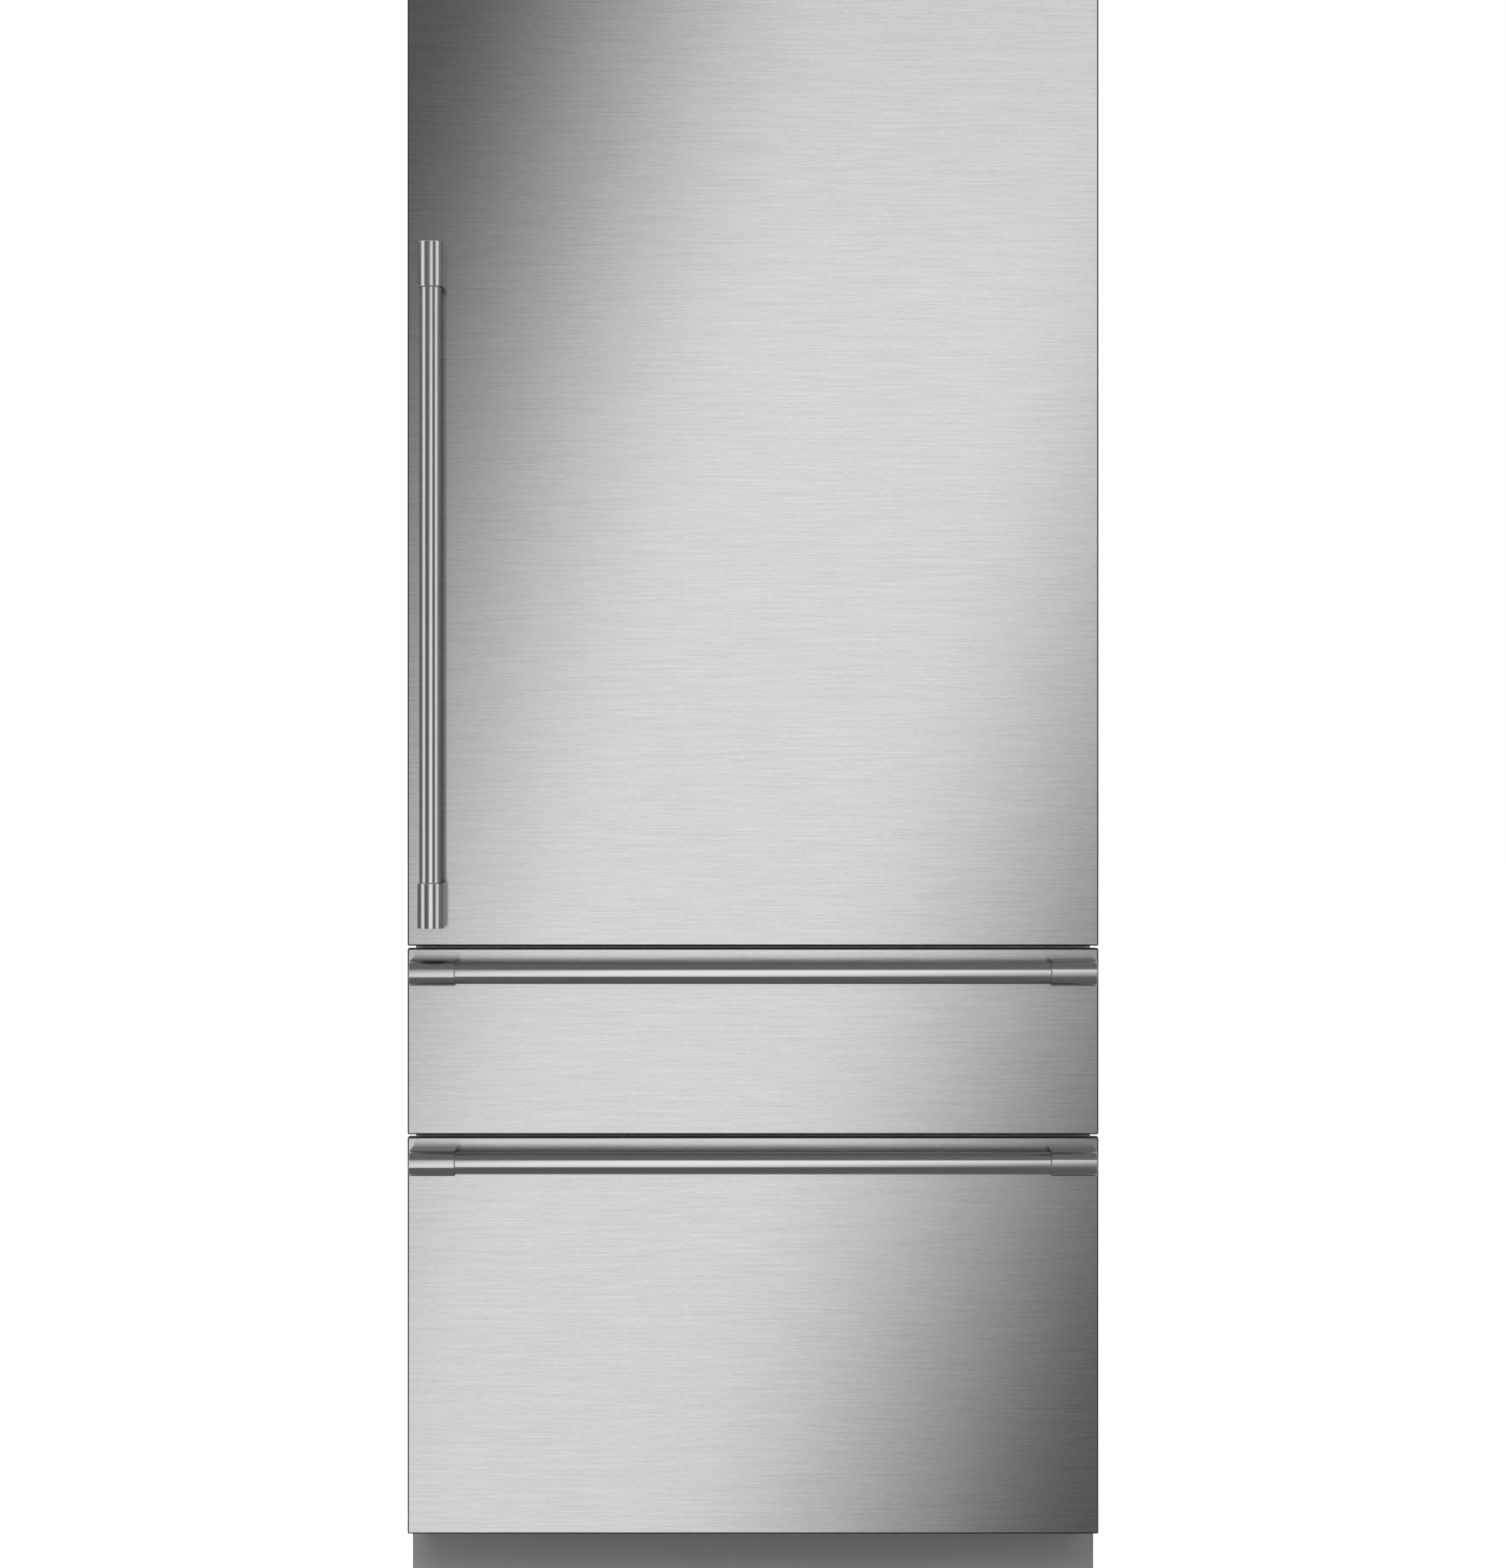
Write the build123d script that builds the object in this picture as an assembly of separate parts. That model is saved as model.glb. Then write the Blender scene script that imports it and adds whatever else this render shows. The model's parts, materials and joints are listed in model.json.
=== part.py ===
from build123d import *
import os

# A built-in bottom freezer refrigerator, in millimetres. X runs across the front, with the door's
# hinge on the +X side. The front faces -Y and +Z is up. The origin is on the floor, in the middle
# of the whole object's width and depth.

# Case
case_height = 2134.0
case_width = 889.0
case_depth = 525.0
sheet = 1.0
frame_plate = 1.5
frame_stile = 46.0
insulation = 43.0
liner_wall = 2.0
liner_flange = 12.0
liner_corner = 14.0
mullion = 46.0

# Base and machine compartment
ground_clearance = 30.0
base_top = 84.0
rail_width = 30.0
rail_wall = 2.0
machine_depth = 210.0
machine_top = 300.0
tray_plate = 2.0
rear_lip = 8.0
leg_foot_radius = 22.0
leg_foot_height = 8.0
leg_stem_radius = 6.0
leg_reach = 60.0
leg_setback = 42.0
floor_bolt_radius = 5.0
floor_bolt_spacing = 300.0
roller_radius = 20.0
roller_width = 16.0
roller_axle_radius = 4.0
roller_setback = 60.0
fork_plate = 3.0
running_clearance = 0.05
side_clearance = 1.0

# Toe kick
toe_side_gap = 1.0
toe_recess = 76.0
toe_sheet = 1.2
toe_bottom = 6.0
toe_drop = 3.6
toe_tab_width = 60.0
toe_tab_spacing = 600.0

# Fronts, from the freezer drawer up
toe_height = 101.6
panel_overhang = 9.5
panel_thickness = 19.0
panel_sheet = 1.2
panel_lip = 25.0
panel_edge_radius = 1.2
panel_gap = 3.2
freezer_panel_height = 521.6
middle_panel_height = 244.8
top_reveal = 3.0
front_depth = 54.0
front_inset = 6.0
front_sheet = 1.2
door_liner_plate = 3.0
gasket_space = 12.0
gasket_clearance = 0.3
gasket_width = 12.0
gasket_margin = 1.5
gasket_groove = 4.0

# Handles
handle_margin = 5.4
bar_radius = 14.3
cap_radius = 16.65
cap_length = 58.7
cap_chamfer = 0.8
cap_socket = 12.0
bar_standoff = 46.0
door_handle_inset = 33.3
door_handle_lift = 24.9
drawer_handle_drop = 29.9

# Hinges
pivot_inset = 12.5
pivot_setback = 16.7
pin_radius = 5.0
pin_reach = 20.0
bushing_wall = 3.0
bushing_flange = 1.9
bushing_flange_radius = 11.0
hinge_plate = 5.0
hinge_gap = 2.0
hinge_boss_radius = 12.0
hinge_arm_out = 3.0
hinge_arm_in = 16.0
hinge_flange_height = 40.0
hinge_flange_reach = 12.0
hinge_block_width = 29.0
hinge_block_depth = 31.0
screw_radius = 2.5
screw_head_radius = 4.5

# Drawer slides
middle_slide_length = 450.0
freezer_slide_length = 400.0
slide_height = 44.0
slide_depth = 14.0
slide_steel = 1.6
slide_clearance = 0.4
slide_inner_height = 22.0
slide_start = 8.0
slide_bracket_reach = 1.0

# Drawer tubs
tub_wall = 3.0
tub_corner = 16.0
tub_rim = 6.0
tub_floor_clearance = 8.0
tub_head_clearance = 14.0
middle_tub_depth = 430.0
middle_slide_drop = 60.0
freezer_basket_depth = 250.0
freezer_basket_height = 290.0
freezer_slide_drop = 190.0
freezer_tray_height = 100.0
freezer_tray_depth = 380.0
freezer_tray_drop = 18.0
freezer_tray_setback = 16.0
freezer_tray_gap = 1.0
tray_ledge = 12.0
tray_ledge_height = 8.0

# Fresh food compartment
crisper_zone = 245.0
crisper_setback = 108.0
crisper_depth = 330.0
crisper_height = 200.0
crisper_middle_gap = 12.0
crisper_side_gap = 22.5
crisper_flange = 12.0
crisper_flange_start = 30.0
crisper_flange_drop = 18.0
crisper_rail_height = 10.0
crisper_rail_gap = 0.5
shelf_count = 3
shelf_head_room = 272.2
shelf_glass_thickness = 5.0
shelf_depth = 320.0
shelf_side_clearance = 8.0
shelf_rim = 8.0
shelf_rim_height = 14.0
bracket_plate = 3.0
bracket_height = 34.0
track_width = 22.0
track_depth = 8.0
track_spacing = 500.0
track_slot_width = 6.0
track_slot_height = 14.0
track_slot_pitch = 30.0
track_end_gap = 40.0

# Door bins
bin_wall = 3.0
bin_depth = 100.0
bin_height = 110.0
bin_corner = 14.0
bin_count = 3
bin_foot_room = 40.0
bin_head_room = 187.2
bin_side_clearance = 2.0
dyke_inset = 12.5
dyke_width = 36.0
dyke_depth = 78.0
dyke_bottom_gap = 265.0
dyke_top_gap = 40.0
lug_reach = 12.0
lug_height = 8.0
lug_length = 60.0

# Control panel and lights
control_width = 300.0
control_depth = 60.0
control_height = 18.0
control_setback = 16.0
light_width = 8.0
light_depth = 14.0
light_setback = 20.0
light_end_gap = 120.0

# Cooling system
fin_pitch = 12.0
fin_sheet = 0.8
coil_tube_radius = 4.0
coil_rows = 4
coil_row_pitch = 24.0
condenser_length = 190.0
condenser_depth = 150.0
condenser_height = 150.0
condenser_lift = 60.0
condenser_side_gap = 40.0
end_plate = 2.0
fan_radius = 70.0
fan_tip_clearance = 5.0
fan_hub_radius = 20.0
fan_hub_length = 24.0
fan_blades = 5
fan_blade_angle = 32.0
fan_blade_sheet = 2.0
fan_blade_width = 1.6
fan_shaft_radius = 3.0
fan_shaft_length = 26.0
fan_frame = 166.0
fan_frame_depth = 30.0
fan_motor_radius = 22.0
fan_motor_length = 22.0
fan_strut = 8.0
fan_centre_x = -110.0
pan_wall = 2.0
pan_height = 40.0
pan_depth = 140.0
compressor_radius = 72.0
compressor_height = 150.0
compressor_crown = 34.0
compressor_x = 260.0
compressor_foot = 160.0
compressor_foot_plate = 3.0
compressor_bush_radius = 9.0
compressor_bush_height = 12.0
compressor_bush_inset = 13.5
evaporator_length = 540.0
evaporator_depth = 46.0
evaporator_drop = 120.0
evaporator_height = 100.0
evaporator_cover_plate = 3.0
evaporator_cover_gap = 58.0
evaporator_fan_radius = 42.0
evaporator_fan_drop = 56.0
cover_slot_length = 60.0
cover_slot_height = 6.0
cover_slot_pitch = 14.0
cover_slot_columns = 8
cover_slot_rows = 8
cover_slot_column_pitch = 84.0
return_slots = 7
return_slot_pitch = 90.0
tower_width = 130.0
tower_depth = 16.0
tower_end_gap = 60.0
inlet_width = 50.0
inlet_height = 40.0
inlet_length = 34.0
inlet_socket_width = 26.0
inlet_socket_height = 18.0
inlet_socket_depth = 20.0
inlet_pin_length = 10.0
inlet_pin_width = 4.0
inlet_pin_thick = 2.0
inlet_pin_spacing = 7.0
inlet_x = 345.0
inlet_lift = 50.0

# Places along Y, from the handles' front back to the wall
handle_projection = bar_standoff + cap_radius
total_depth = handle_projection + panel_thickness + front_depth + gasket_space + case_depth
panel_front = -total_depth / 2 + handle_projection
panel_back = panel_front + panel_thickness
body_back = panel_back + front_depth
case_front = body_back + gasket_space
frame_back = case_front + frame_plate
case_back = case_front + case_depth
liner_plate_back = body_back + door_liner_plate
bar_y = panel_front - bar_standoff
toe_front = panel_front + toe_recess
machine_front = case_back - machine_depth

# Places along Z, from the floor up
freezer_panel_bottom = toe_height
freezer_panel_top = freezer_panel_bottom + freezer_panel_height
middle_panel_bottom = freezer_panel_top + panel_gap
middle_panel_top = middle_panel_bottom + middle_panel_height
door_panel_bottom = middle_panel_top + panel_gap
door_panel_top = case_height - top_reveal
lower_mullion = freezer_panel_top + panel_gap / 2
upper_mullion = middle_panel_top + panel_gap / 2
insulated_bottom = base_top + sheet
freezer_floor = insulated_bottom + insulation + liner_wall
freezer_ceiling = lower_mullion - mullion / 2
middle_floor = lower_mullion + mullion / 2
middle_ceiling = upper_mullion - mullion / 2
fresh_floor = upper_mullion + mullion / 2
fresh_ceiling = case_height - sheet - insulation - liner_wall
step_floor = machine_top + sheet + insulation + liner_wall

# Places across and inside the compartments
half_case = case_width / 2
panel_width = case_width + 2 * panel_overhang
handle_length = panel_width - 2 * handle_margin
toe_width = panel_width - 2 * toe_side_gap
half_inner = half_case - sheet
half_cavity = half_case - frame_stile
liner_back = case_back - sheet - insulation - liner_wall
step_back = machine_front - sheet - insulation - liner_wall
rail_inner = half_inner - rail_width
pivot_x = half_case - pivot_inset
pivot_y = panel_back + pivot_setback
door_body_bottom = door_panel_bottom + front_inset
door_body_top = door_panel_top - front_inset
slide_inner_face = half_cavity - slide_depth
half_tub = slide_inner_face - slide_bracket_reach
crisper_ceiling = fresh_floor + crisper_zone
tray_floor = ground_clearance
tray_top = tray_floor + tray_plate


def block(x, y, z):
    """A box between two values along each axis."""
    centre = ((x[0] + x[1]) / 2, (y[0] + y[1]) / 2, (z[0] + z[1]) / 2)
    return Pos(*centre) * Box(x[1] - x[0], y[1] - y[0], z[1] - z[0])


def rod(centre, radius, length, direction="Z"):
    """A cylinder centred on a point, along one axis."""
    turn = {"X": Rot(0, 90, 0), "Y": Rot(90, 0, 0), "Z": Rot(0, 0, 0)}[direction]
    return Pos(*centre) * turn * Cylinder(radius, length)


def both_sides(*pieces):
    """The pieces and their mirror images on the other side of the object."""
    return [*pieces, *(piece.mirror(Plane.YZ) for piece in pieces)]


def save(name, *pieces):
    """Write one sub-part, whose pieces stay separate solids."""
    solids = [solid for piece in pieces for solid in piece.solids()]
    shape = solids[0] if len(solids) == 1 else Compound(solids)
    export_step(shape, f"parts/{name}.step")


def round_edges(shape, radius, axis):
    """Round the edges that run along one axis."""
    return fillet(shape.edges().filter_by(axis), radius)


# Case


def case_wrapper():
    side = block((half_inner, half_case), (frame_back, case_back), (ground_clearance, case_height))
    top = block((-half_inner, half_inner), (frame_back, case_back), (case_height - sheet, case_height))
    save("case_wrapper", *both_sides(side), top)


def rear_panel():
    y = (case_back - sheet, case_back)
    save("rear_panel", block((-half_inner, half_inner), y, (machine_top, case_height - sheet)))


def bottom_panel():
    """One sheet, stepped up over the machine compartment."""
    x = (-half_inner, half_inner)
    riser_y = (machine_front - sheet, machine_front)
    floor = block(x, (frame_back, machine_front), (base_top, insulated_bottom))
    riser = block(x, riser_y, (base_top, machine_top + sheet))
    shelf = block(x, (riser_y[0], case_back - sheet), (machine_top, machine_top + sheet))
    save("bottom_panel", floor + riser + shelf)


def front_frame():
    """Two stiles and four rails, welded edge to edge around the three openings."""
    y = (case_front, frame_back)
    stile = block((half_cavity, half_case), y, (base_top, case_height))
    rails = [
        block((-half_cavity, half_cavity), y, z)
        for z in (
            (base_top, freezer_floor),
            (freezer_ceiling, middle_floor),
            (middle_ceiling, fresh_floor),
            (fresh_ceiling, case_height),
        )
    ]
    save("front_frame", *both_sides(stile), *rails)


def cavity(x_half, y_back, z, growth):
    """The space inside a liner, or the liner's outside when growth is its wall."""
    x = (-x_half - growth, x_half + growth)
    z = (z[0] - growth, z[1] + growth)
    hollow = block(x, (frame_back, y_back + growth), z)
    return round_edges(hollow, liner_corner + growth, Axis.Y)


def flange_around(z):
    """The liner's front flange, which laps behind the front frame."""
    x = (-half_cavity - liner_flange, half_cavity + liner_flange)
    y = (frame_back, frame_back + liner_wall)
    return block(x, y, (z[0] - liner_flange, z[1] + liner_flange))


fresh_z = (fresh_floor, fresh_ceiling)
middle_z = (middle_floor, middle_ceiling)
freezer_z = (freezer_floor, freezer_ceiling)
freezer_upper_z = (step_floor, freezer_ceiling)


def liner_outside(z):
    return cavity(half_cavity, liner_back, z, liner_wall) + flange_around(z)


def freezer_hollow(growth):
    """The freezer's space, shallower below the machine compartment's step."""
    lower = cavity(half_cavity, step_back, freezer_z, growth)
    return lower + cavity(half_cavity, liner_back, freezer_upper_z, growth)


def freezer_outside():
    return freezer_hollow(liner_wall) + flange_around(freezer_z)


def insulation_foam():
    x = (-half_inner, half_inner)
    top = case_height - sheet
    foam = block(x, (frame_back, case_back - sheet), (insulated_bottom, top))
    foam -= block(x, (machine_front - sheet, case_back), (insulated_bottom, machine_top + sheet))
    foam -= liner_outside(fresh_z)
    foam -= liner_outside(middle_z)
    foam -= freezer_outside()
    save("insulation_foam", foam)


def fresh_food_liner():
    save("fresh_food_liner", liner_outside(fresh_z) - cavity(half_cavity, liner_back, fresh_z, 0))


def middle_liner():
    save("middle_liner", liner_outside(middle_z) - cavity(half_cavity, liner_back, middle_z, 0))


def tray_ledge_top():
    return freezer_ceiling - freezer_tray_drop - tub_rim - freezer_tray_gap / 2


def freezer_liner():
    """The stepped liner, with a ledge on each side wall that carries the upper tray's rim."""
    liner = freezer_outside() - freezer_hollow(0)
    top = tray_ledge_top()
    y = (frame_back, cover_front())
    ledge = block((half_cavity - tray_ledge, half_cavity), y, (top - tray_ledge_height, top))
    save("freezer_liner", sum_of(liner, *both_sides(ledge)))


def sum_of(first, *rest):
    for piece in rest:
        first = first + piece
    return first


# Base


def tube(x, y, z, along):
    """A rectangular steel tube, open at both ends of its length."""
    wall = {axis: 0 if axis == along else rail_wall for axis in "XYZ"}
    bore = block(
        (x[0] + wall["X"], x[1] - wall["X"]),
        (y[0] + wall["Y"], y[1] - wall["Y"]),
        (z[0] + wall["Z"], z[1] - wall["Z"]),
    )
    return block(x, y, z) - bore


leg_x = half_inner - rail_width / 2
leg_y = case_front + leg_setback
roller_y = case_back - roller_setback
floor_bolts_y = (roller_y - floor_bolt_spacing / 2) - rail_width
lip_front = case_back - sheet - rear_lip
fork_inner = rail_inner - 2 * fork_plate - roller_width - 2 * side_clearance


def base_rail():
    z = (ground_clearance, base_top)
    rail = tube((rail_inner, half_inner), (case_front, case_back), z, "Y")
    rail -= rod((leg_x, leg_y, ground_clearance), leg_stem_radius, rail_width)
    for side in (-1, 1):
        y = floor_bolts_y + side * floor_bolt_spacing / 2
        rail -= rod((leg_x, y, ground_clearance), floor_bolt_radius, 3 * rail_wall)
    return rail


def roller_fork():
    """An upside-down U beside the rail, which carries one end of the rear axle."""
    y = (roller_y - roller_radius / 2, roller_y + roller_radius / 2)
    web_bottom = 2 * roller_radius + side_clearance * 4
    low = roller_radius / 2
    outer = block((rail_inner - fork_plate, rail_inner), y, (low, base_top))
    inner = block((fork_inner, fork_inner + fork_plate), y, (low, web_bottom + fork_plate))
    web = block((fork_inner, rail_inner), y, (web_bottom, web_bottom + fork_plate))
    bearing_radius = roller_axle_radius + running_clearance
    hole = rod((rail_inner, roller_y, roller_radius), bearing_radius, case_width, "X")
    return outer + inner + web - hole


def base_frame():
    """Rails, cross members, machine tray and roller forks."""
    x = (-rail_inner, rail_inner)
    z = (ground_clearance, base_top)
    front = tube(x, (case_front, case_front + rail_width), z, "X")
    middle = tube(x, (machine_front, machine_front + rail_width), z, "X")
    rear = block(x, (lip_front, case_back - sheet), z)
    tray_x = (-fork_inner + side_clearance, fork_inner - side_clearance)
    tray = block(tray_x, (machine_front + rail_width, lip_front), (tray_floor, tray_top))
    save("base_frame", *both_sides(base_rail(), roller_fork()), front, middle, rear, tray)


def levelling_legs():
    foot = rod((leg_x, leg_y, leg_foot_height / 2), leg_foot_radius, leg_foot_height)
    stem_length = leg_reach - leg_foot_height
    stem_middle = (leg_x, leg_y, leg_foot_height + stem_length / 2)
    stem = rod(stem_middle, leg_stem_radius, stem_length)
    save("levelling_legs", *both_sides(foot + stem))


def rear_rollers():
    """Two wheels on one axle across the base."""
    wheel_x = rail_inner - fork_plate - side_clearance - roller_width / 2
    axle = rod((0, roller_y, roller_radius), roller_axle_radius, 2 * rail_inner - side_clearance, "X")
    wheel = rod((wheel_x, roller_y, roller_radius), roller_radius, roller_width, "X")
    wheels = both_sides(chamfer(wheel.edges(), roller_axle_radius / 4))
    save("rear_rollers", sum_of(axle, *wheels))


def toe_kick():
    """A folded sheet with returned ends, on two tabs that meet the base's front."""
    top = toe_height - toe_drop
    x = (-toe_width / 2, toe_width / 2)
    z = (toe_bottom, top)
    back = case_front - toe_sheet
    plate = block(x, (toe_front, toe_front + toe_sheet), z)
    end = block((x[1] - toe_sheet, x[1]), (toe_front, back), z)
    fold = block(x, (toe_front, back), (top - toe_sheet, top))
    kick = sum_of(plate, *both_sides(end), fold)
    for side in (-1, 1):
        centre = side * toe_tab_spacing / 2
        tab_x = (centre - toe_tab_width / 2, centre + toe_tab_width / 2)
        kick += block(tab_x, (toe_front, case_front), (ground_clearance, base_top))
    save("toe_kick", kick)


def machine_cover():
    """The lower rear cover, slotted for the machine compartment's air and cut for the inlet."""
    y = (case_back - sheet, case_back)
    cover = block((-half_inner, half_inner), y, (base_top, machine_top))
    slot_area = (cover_slot_rows - 1) * cover_slot_pitch
    cut_depth = 4 * sheet
    for column in range(cover_slot_columns):
        x = (column - (cover_slot_columns - 1) / 2) * cover_slot_column_pitch - inlet_width
        for row in range(cover_slot_rows):
            z = (base_top + machine_top) / 2 - slot_area / 2 + row * cover_slot_pitch
            cover -= Pos(x, case_back, z) * Box(cover_slot_length, cut_depth, cover_slot_height)
    inlet_z = base_top + inlet_lift
    cover -= Pos(inlet_x, case_back, inlet_z) * Box(inlet_socket_width, cut_depth, inlet_socket_height)
    save("machine_cover", cover)


def power_inlet():
    """A socket behind the cover, with three pins, for a cord that isn't part of the object."""
    z = base_top + inlet_lift
    back = case_back - sheet
    housing = Pos(inlet_x, back - inlet_length / 2, z) * Box(inlet_width, inlet_length, inlet_height)
    socket = Pos(inlet_x, back - inlet_socket_depth / 2, z)
    housing -= socket * Box(inlet_socket_width, inlet_socket_depth, inlet_socket_height)
    pin_y = back - inlet_socket_depth + inlet_pin_length / 2
    for side in (-1, 0, 1):
        pin = Pos(inlet_x + side * inlet_pin_spacing, pin_y, z)
        housing += pin * Box(inlet_pin_thick, inlet_pin_length, inlet_pin_width)
    save("power_inlet", housing)


# Cooling system


def fin_pack(x, y, z):
    """Two end plates, the fins between them and the straight runs of the tube through both."""
    pieces = [block((x[0], x[0] + end_plate), y, z), block((x[1] - end_plate, x[1]), y, z)]
    count = int((x[1] - x[0]) // fin_pitch)
    for i in range(1, count):
        at = x[0] + i * (x[1] - x[0]) / count
        pieces.append(block((at - fin_sheet / 2, at + fin_sheet / 2), y, z))
    centre = ((x[0] + x[1]) / 2, (y[0] + y[1]) / 2, (z[0] + z[1]) / 2)
    for row in range(coil_rows):
        offset = (row - (coil_rows - 1) / 2) * coil_row_pitch
        place = (centre[0], centre[1], centre[2] + offset)
        pieces.append(rod(place, coil_tube_radius, x[1] - x[0] + 4 * coil_tube_radius, "X"))
    for row in range(coil_rows - 1):
        side = 1 if row % 2 else -1
        end_x = centre[0] + side * (x[1] - x[0] + 3 * coil_tube_radius) / 2
        offset = (row - (coil_rows - 2) / 2) * coil_row_pitch
        pieces.append(rod((end_x, centre[1], centre[2] + offset), coil_tube_radius, coil_row_pitch))
    return pieces


def condenser():
    """A fin pack on two legs that stand on the machine tray."""
    x1 = fan_centre_x - fan_frame_depth / 2 - condenser_side_gap
    x = (x1 - condenser_length, x1)
    middle = machine_centre_y()
    y = (middle - condenser_depth / 2, middle + condenser_depth / 2)
    z0 = tray_top + condenser_lift
    pack = fin_pack(x, y, (z0, z0 + condenser_height))
    legs = [block((edge, edge + end_plate), y, (tray_top, z0)) for edge in (x[0], x[1] - end_plate)]
    save("condenser", sum_of(*pack, *legs))


def machine_centre_y():
    return (machine_front + rail_width + lip_front) / 2


def drain_pan():
    """A shallow pan under the condenser, between its legs."""
    x1 = fan_centre_x - fan_frame_depth / 2 - condenser_side_gap - end_plate
    x = (x1 - condenser_length + 2 * end_plate, x1)
    middle = machine_centre_y()
    y = (middle - pan_depth / 2, middle + pan_depth / 2)
    pan = block(x, y, (tray_top, tray_top + pan_height))
    hollow_x = (x[0] + pan_wall, x[1] - pan_wall)
    hollow_y = (y[0] + pan_wall, y[1] - pan_wall)
    pan -= block(hollow_x, hollow_y, (tray_top + pan_wall, tray_top + 2 * pan_height))
    save("drain_pan", pan)


def blade(radius, hub_radius, width):
    """One flat, pitched fan blade on a shaft along X."""
    length = radius - hub_radius + fan_blade_sheet
    flat = Pos(0, 0, hub_radius - fan_blade_sheet + length / 2) * Rot(0, 0, fan_blade_angle)
    return flat * Box(fan_blade_sheet, width, length)


def fan(radius, hub_radius, hub_length, shaft_length):
    """A hub, its blades and a shaft that runs on towards +X."""
    wheel = rod((0, 0, 0), hub_radius, hub_length, "X")
    for i in range(fan_blades):
        turned = Rot(360 * i / fan_blades, 0, 0)
        wheel += turned * blade(radius, hub_radius, hub_radius * fan_blade_width)
    shaft_x = hub_length / 2 + shaft_length / 2
    return wheel + rod((shaft_x, 0, 0), fan_shaft_radius, shaft_length, "X")


fan_centre_z = tray_top + fan_frame / 2
motor_x = fan_centre_x + fan_frame_depth / 2 - fan_strut
motor_gap = 2 * side_clearance


def condenser_fan():
    hub_x = motor_x - motor_gap - fan_hub_length / 2
    place = Pos(hub_x, machine_centre_y(), fan_centre_z)
    save("condenser_fan", place * fan(fan_radius, fan_hub_radius, fan_hub_length, fan_shaft_length))


def condenser_fan_housing():
    """A square frame around the fan, with the motor held by four struts."""
    y = machine_centre_y()
    centre = (fan_centre_x, y, fan_centre_z)
    housing = Pos(*centre) * Box(fan_frame_depth, fan_frame, fan_frame)
    housing -= rod(centre, fan_radius + fan_tip_clearance, 2 * fan_frame_depth, "X")
    strut_x = motor_x + fan_strut / 2
    reach = fan_frame - fan_strut
    housing += Pos(strut_x, y, fan_centre_z) * Box(fan_strut, reach, fan_strut)
    housing += Pos(strut_x, y, fan_centre_z) * Box(fan_strut, fan_strut, reach)
    motor_centre = (motor_x + fan_motor_length / 2, y, fan_centre_z)
    housing += rod(motor_centre, fan_motor_radius, fan_motor_length, "X")
    bore_length = fan_shaft_length - motor_gap + side_clearance
    bore = (motor_x + bore_length / 2, y, fan_centre_z)
    housing -= rod(bore, fan_shaft_radius + running_clearance, bore_length, "X")
    save("condenser_fan_housing", housing)


def compressor():
    """A welded dome on a foot plate with four bushes."""
    y = machine_centre_y()
    plate_z = tray_top + compressor_bush_height
    dome_z = plate_z + compressor_foot_plate
    dome = rod((compressor_x, y, dome_z + compressor_height / 2), compressor_radius, compressor_height)
    top = dome.edges().filter_by(GeomType.CIRCLE).sort_by(Axis.Z)[-1]
    body = fillet(top, compressor_crown)
    plate_place = Pos(compressor_x, y, plate_z + compressor_foot_plate / 2)
    body += plate_place * Box(compressor_foot, compressor_foot, compressor_foot_plate)
    reach = compressor_foot / 2 - compressor_bush_inset
    for side_x in (-1, 1):
        for side_y in (-1, 1):
            bush_z = tray_top + compressor_bush_height / 2
            place = (compressor_x + side_x * reach, y + side_y * reach, bush_z)
            body += rod(place, compressor_bush_radius, compressor_bush_height)
    save("compressor", body)


def cover_front():
    return liner_back - evaporator_cover_gap - evaporator_cover_plate


evaporator_fan_z = freezer_ceiling - evaporator_fan_drop
evaporator_hub_radius = evaporator_fan_radius / 3
evaporator_hub_length = evaporator_hub_radius


def evaporator():
    """A fin pack on the freezer's rear wall."""
    x = (-evaporator_length / 2, evaporator_length / 2)
    z1 = freezer_ceiling - evaporator_drop
    y = (liner_back - evaporator_depth, liner_back)
    save("evaporator", sum_of(*fin_pack(x, y, (z1 - evaporator_height, z1))))


def evaporator_cover():
    """The freezer's rear wall panel, with a fan opening above and an air return slot below."""
    y0 = cover_front()
    y = (y0, y0 + evaporator_cover_plate)
    cover = block((-half_cavity, half_cavity), y, freezer_upper_z)
    corners = cavity(half_cavity, liner_back, freezer_upper_z, 0)
    cover = cover & corners
    fan_place = (0, y0 + evaporator_cover_plate / 2, evaporator_fan_z)
    cut_depth = 4 * evaporator_cover_plate
    cover -= rod(fan_place, evaporator_fan_radius + fan_tip_clearance, cut_depth, "Y")
    slot_z = step_floor + 2 * cover_slot_pitch
    for i in range(return_slots):
        x = (i - (return_slots - 1) / 2) * return_slot_pitch
        cover -= Pos(x, y0, slot_z) * Box(cover_slot_length, cut_depth, 2 * cover_slot_height)
    post_y = (y[1], motor_back())
    wide = evaporator_fan_radius + fan_tip_clearance + fan_strut
    for side in (-1, 1):
        at = side * wide
        post_x = (at - fan_strut / 2, at + fan_strut / 2)
        post_z = (evaporator_fan_z - fan_strut / 2, evaporator_fan_z + fan_strut / 2)
        cover += block(post_x, post_y, post_z)
    bar_y_range = (motor_back() - fan_strut / 2, motor_back())
    bar_z = (evaporator_fan_z - fan_strut / 2, evaporator_fan_z + fan_strut / 2)
    cover += block((-wide, wide), bar_y_range, bar_z)
    motor_centre = (0, motor_back() - fan_strut / 2, evaporator_fan_z)
    cover += rod(motor_centre, evaporator_hub_radius, fan_strut, "Y")
    cover -= rod(motor_centre, fan_shaft_radius + running_clearance, 3 * fan_strut, "Y")
    save("evaporator_cover", cover)


def motor_back():
    return liner_back - 3 * side_clearance


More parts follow.
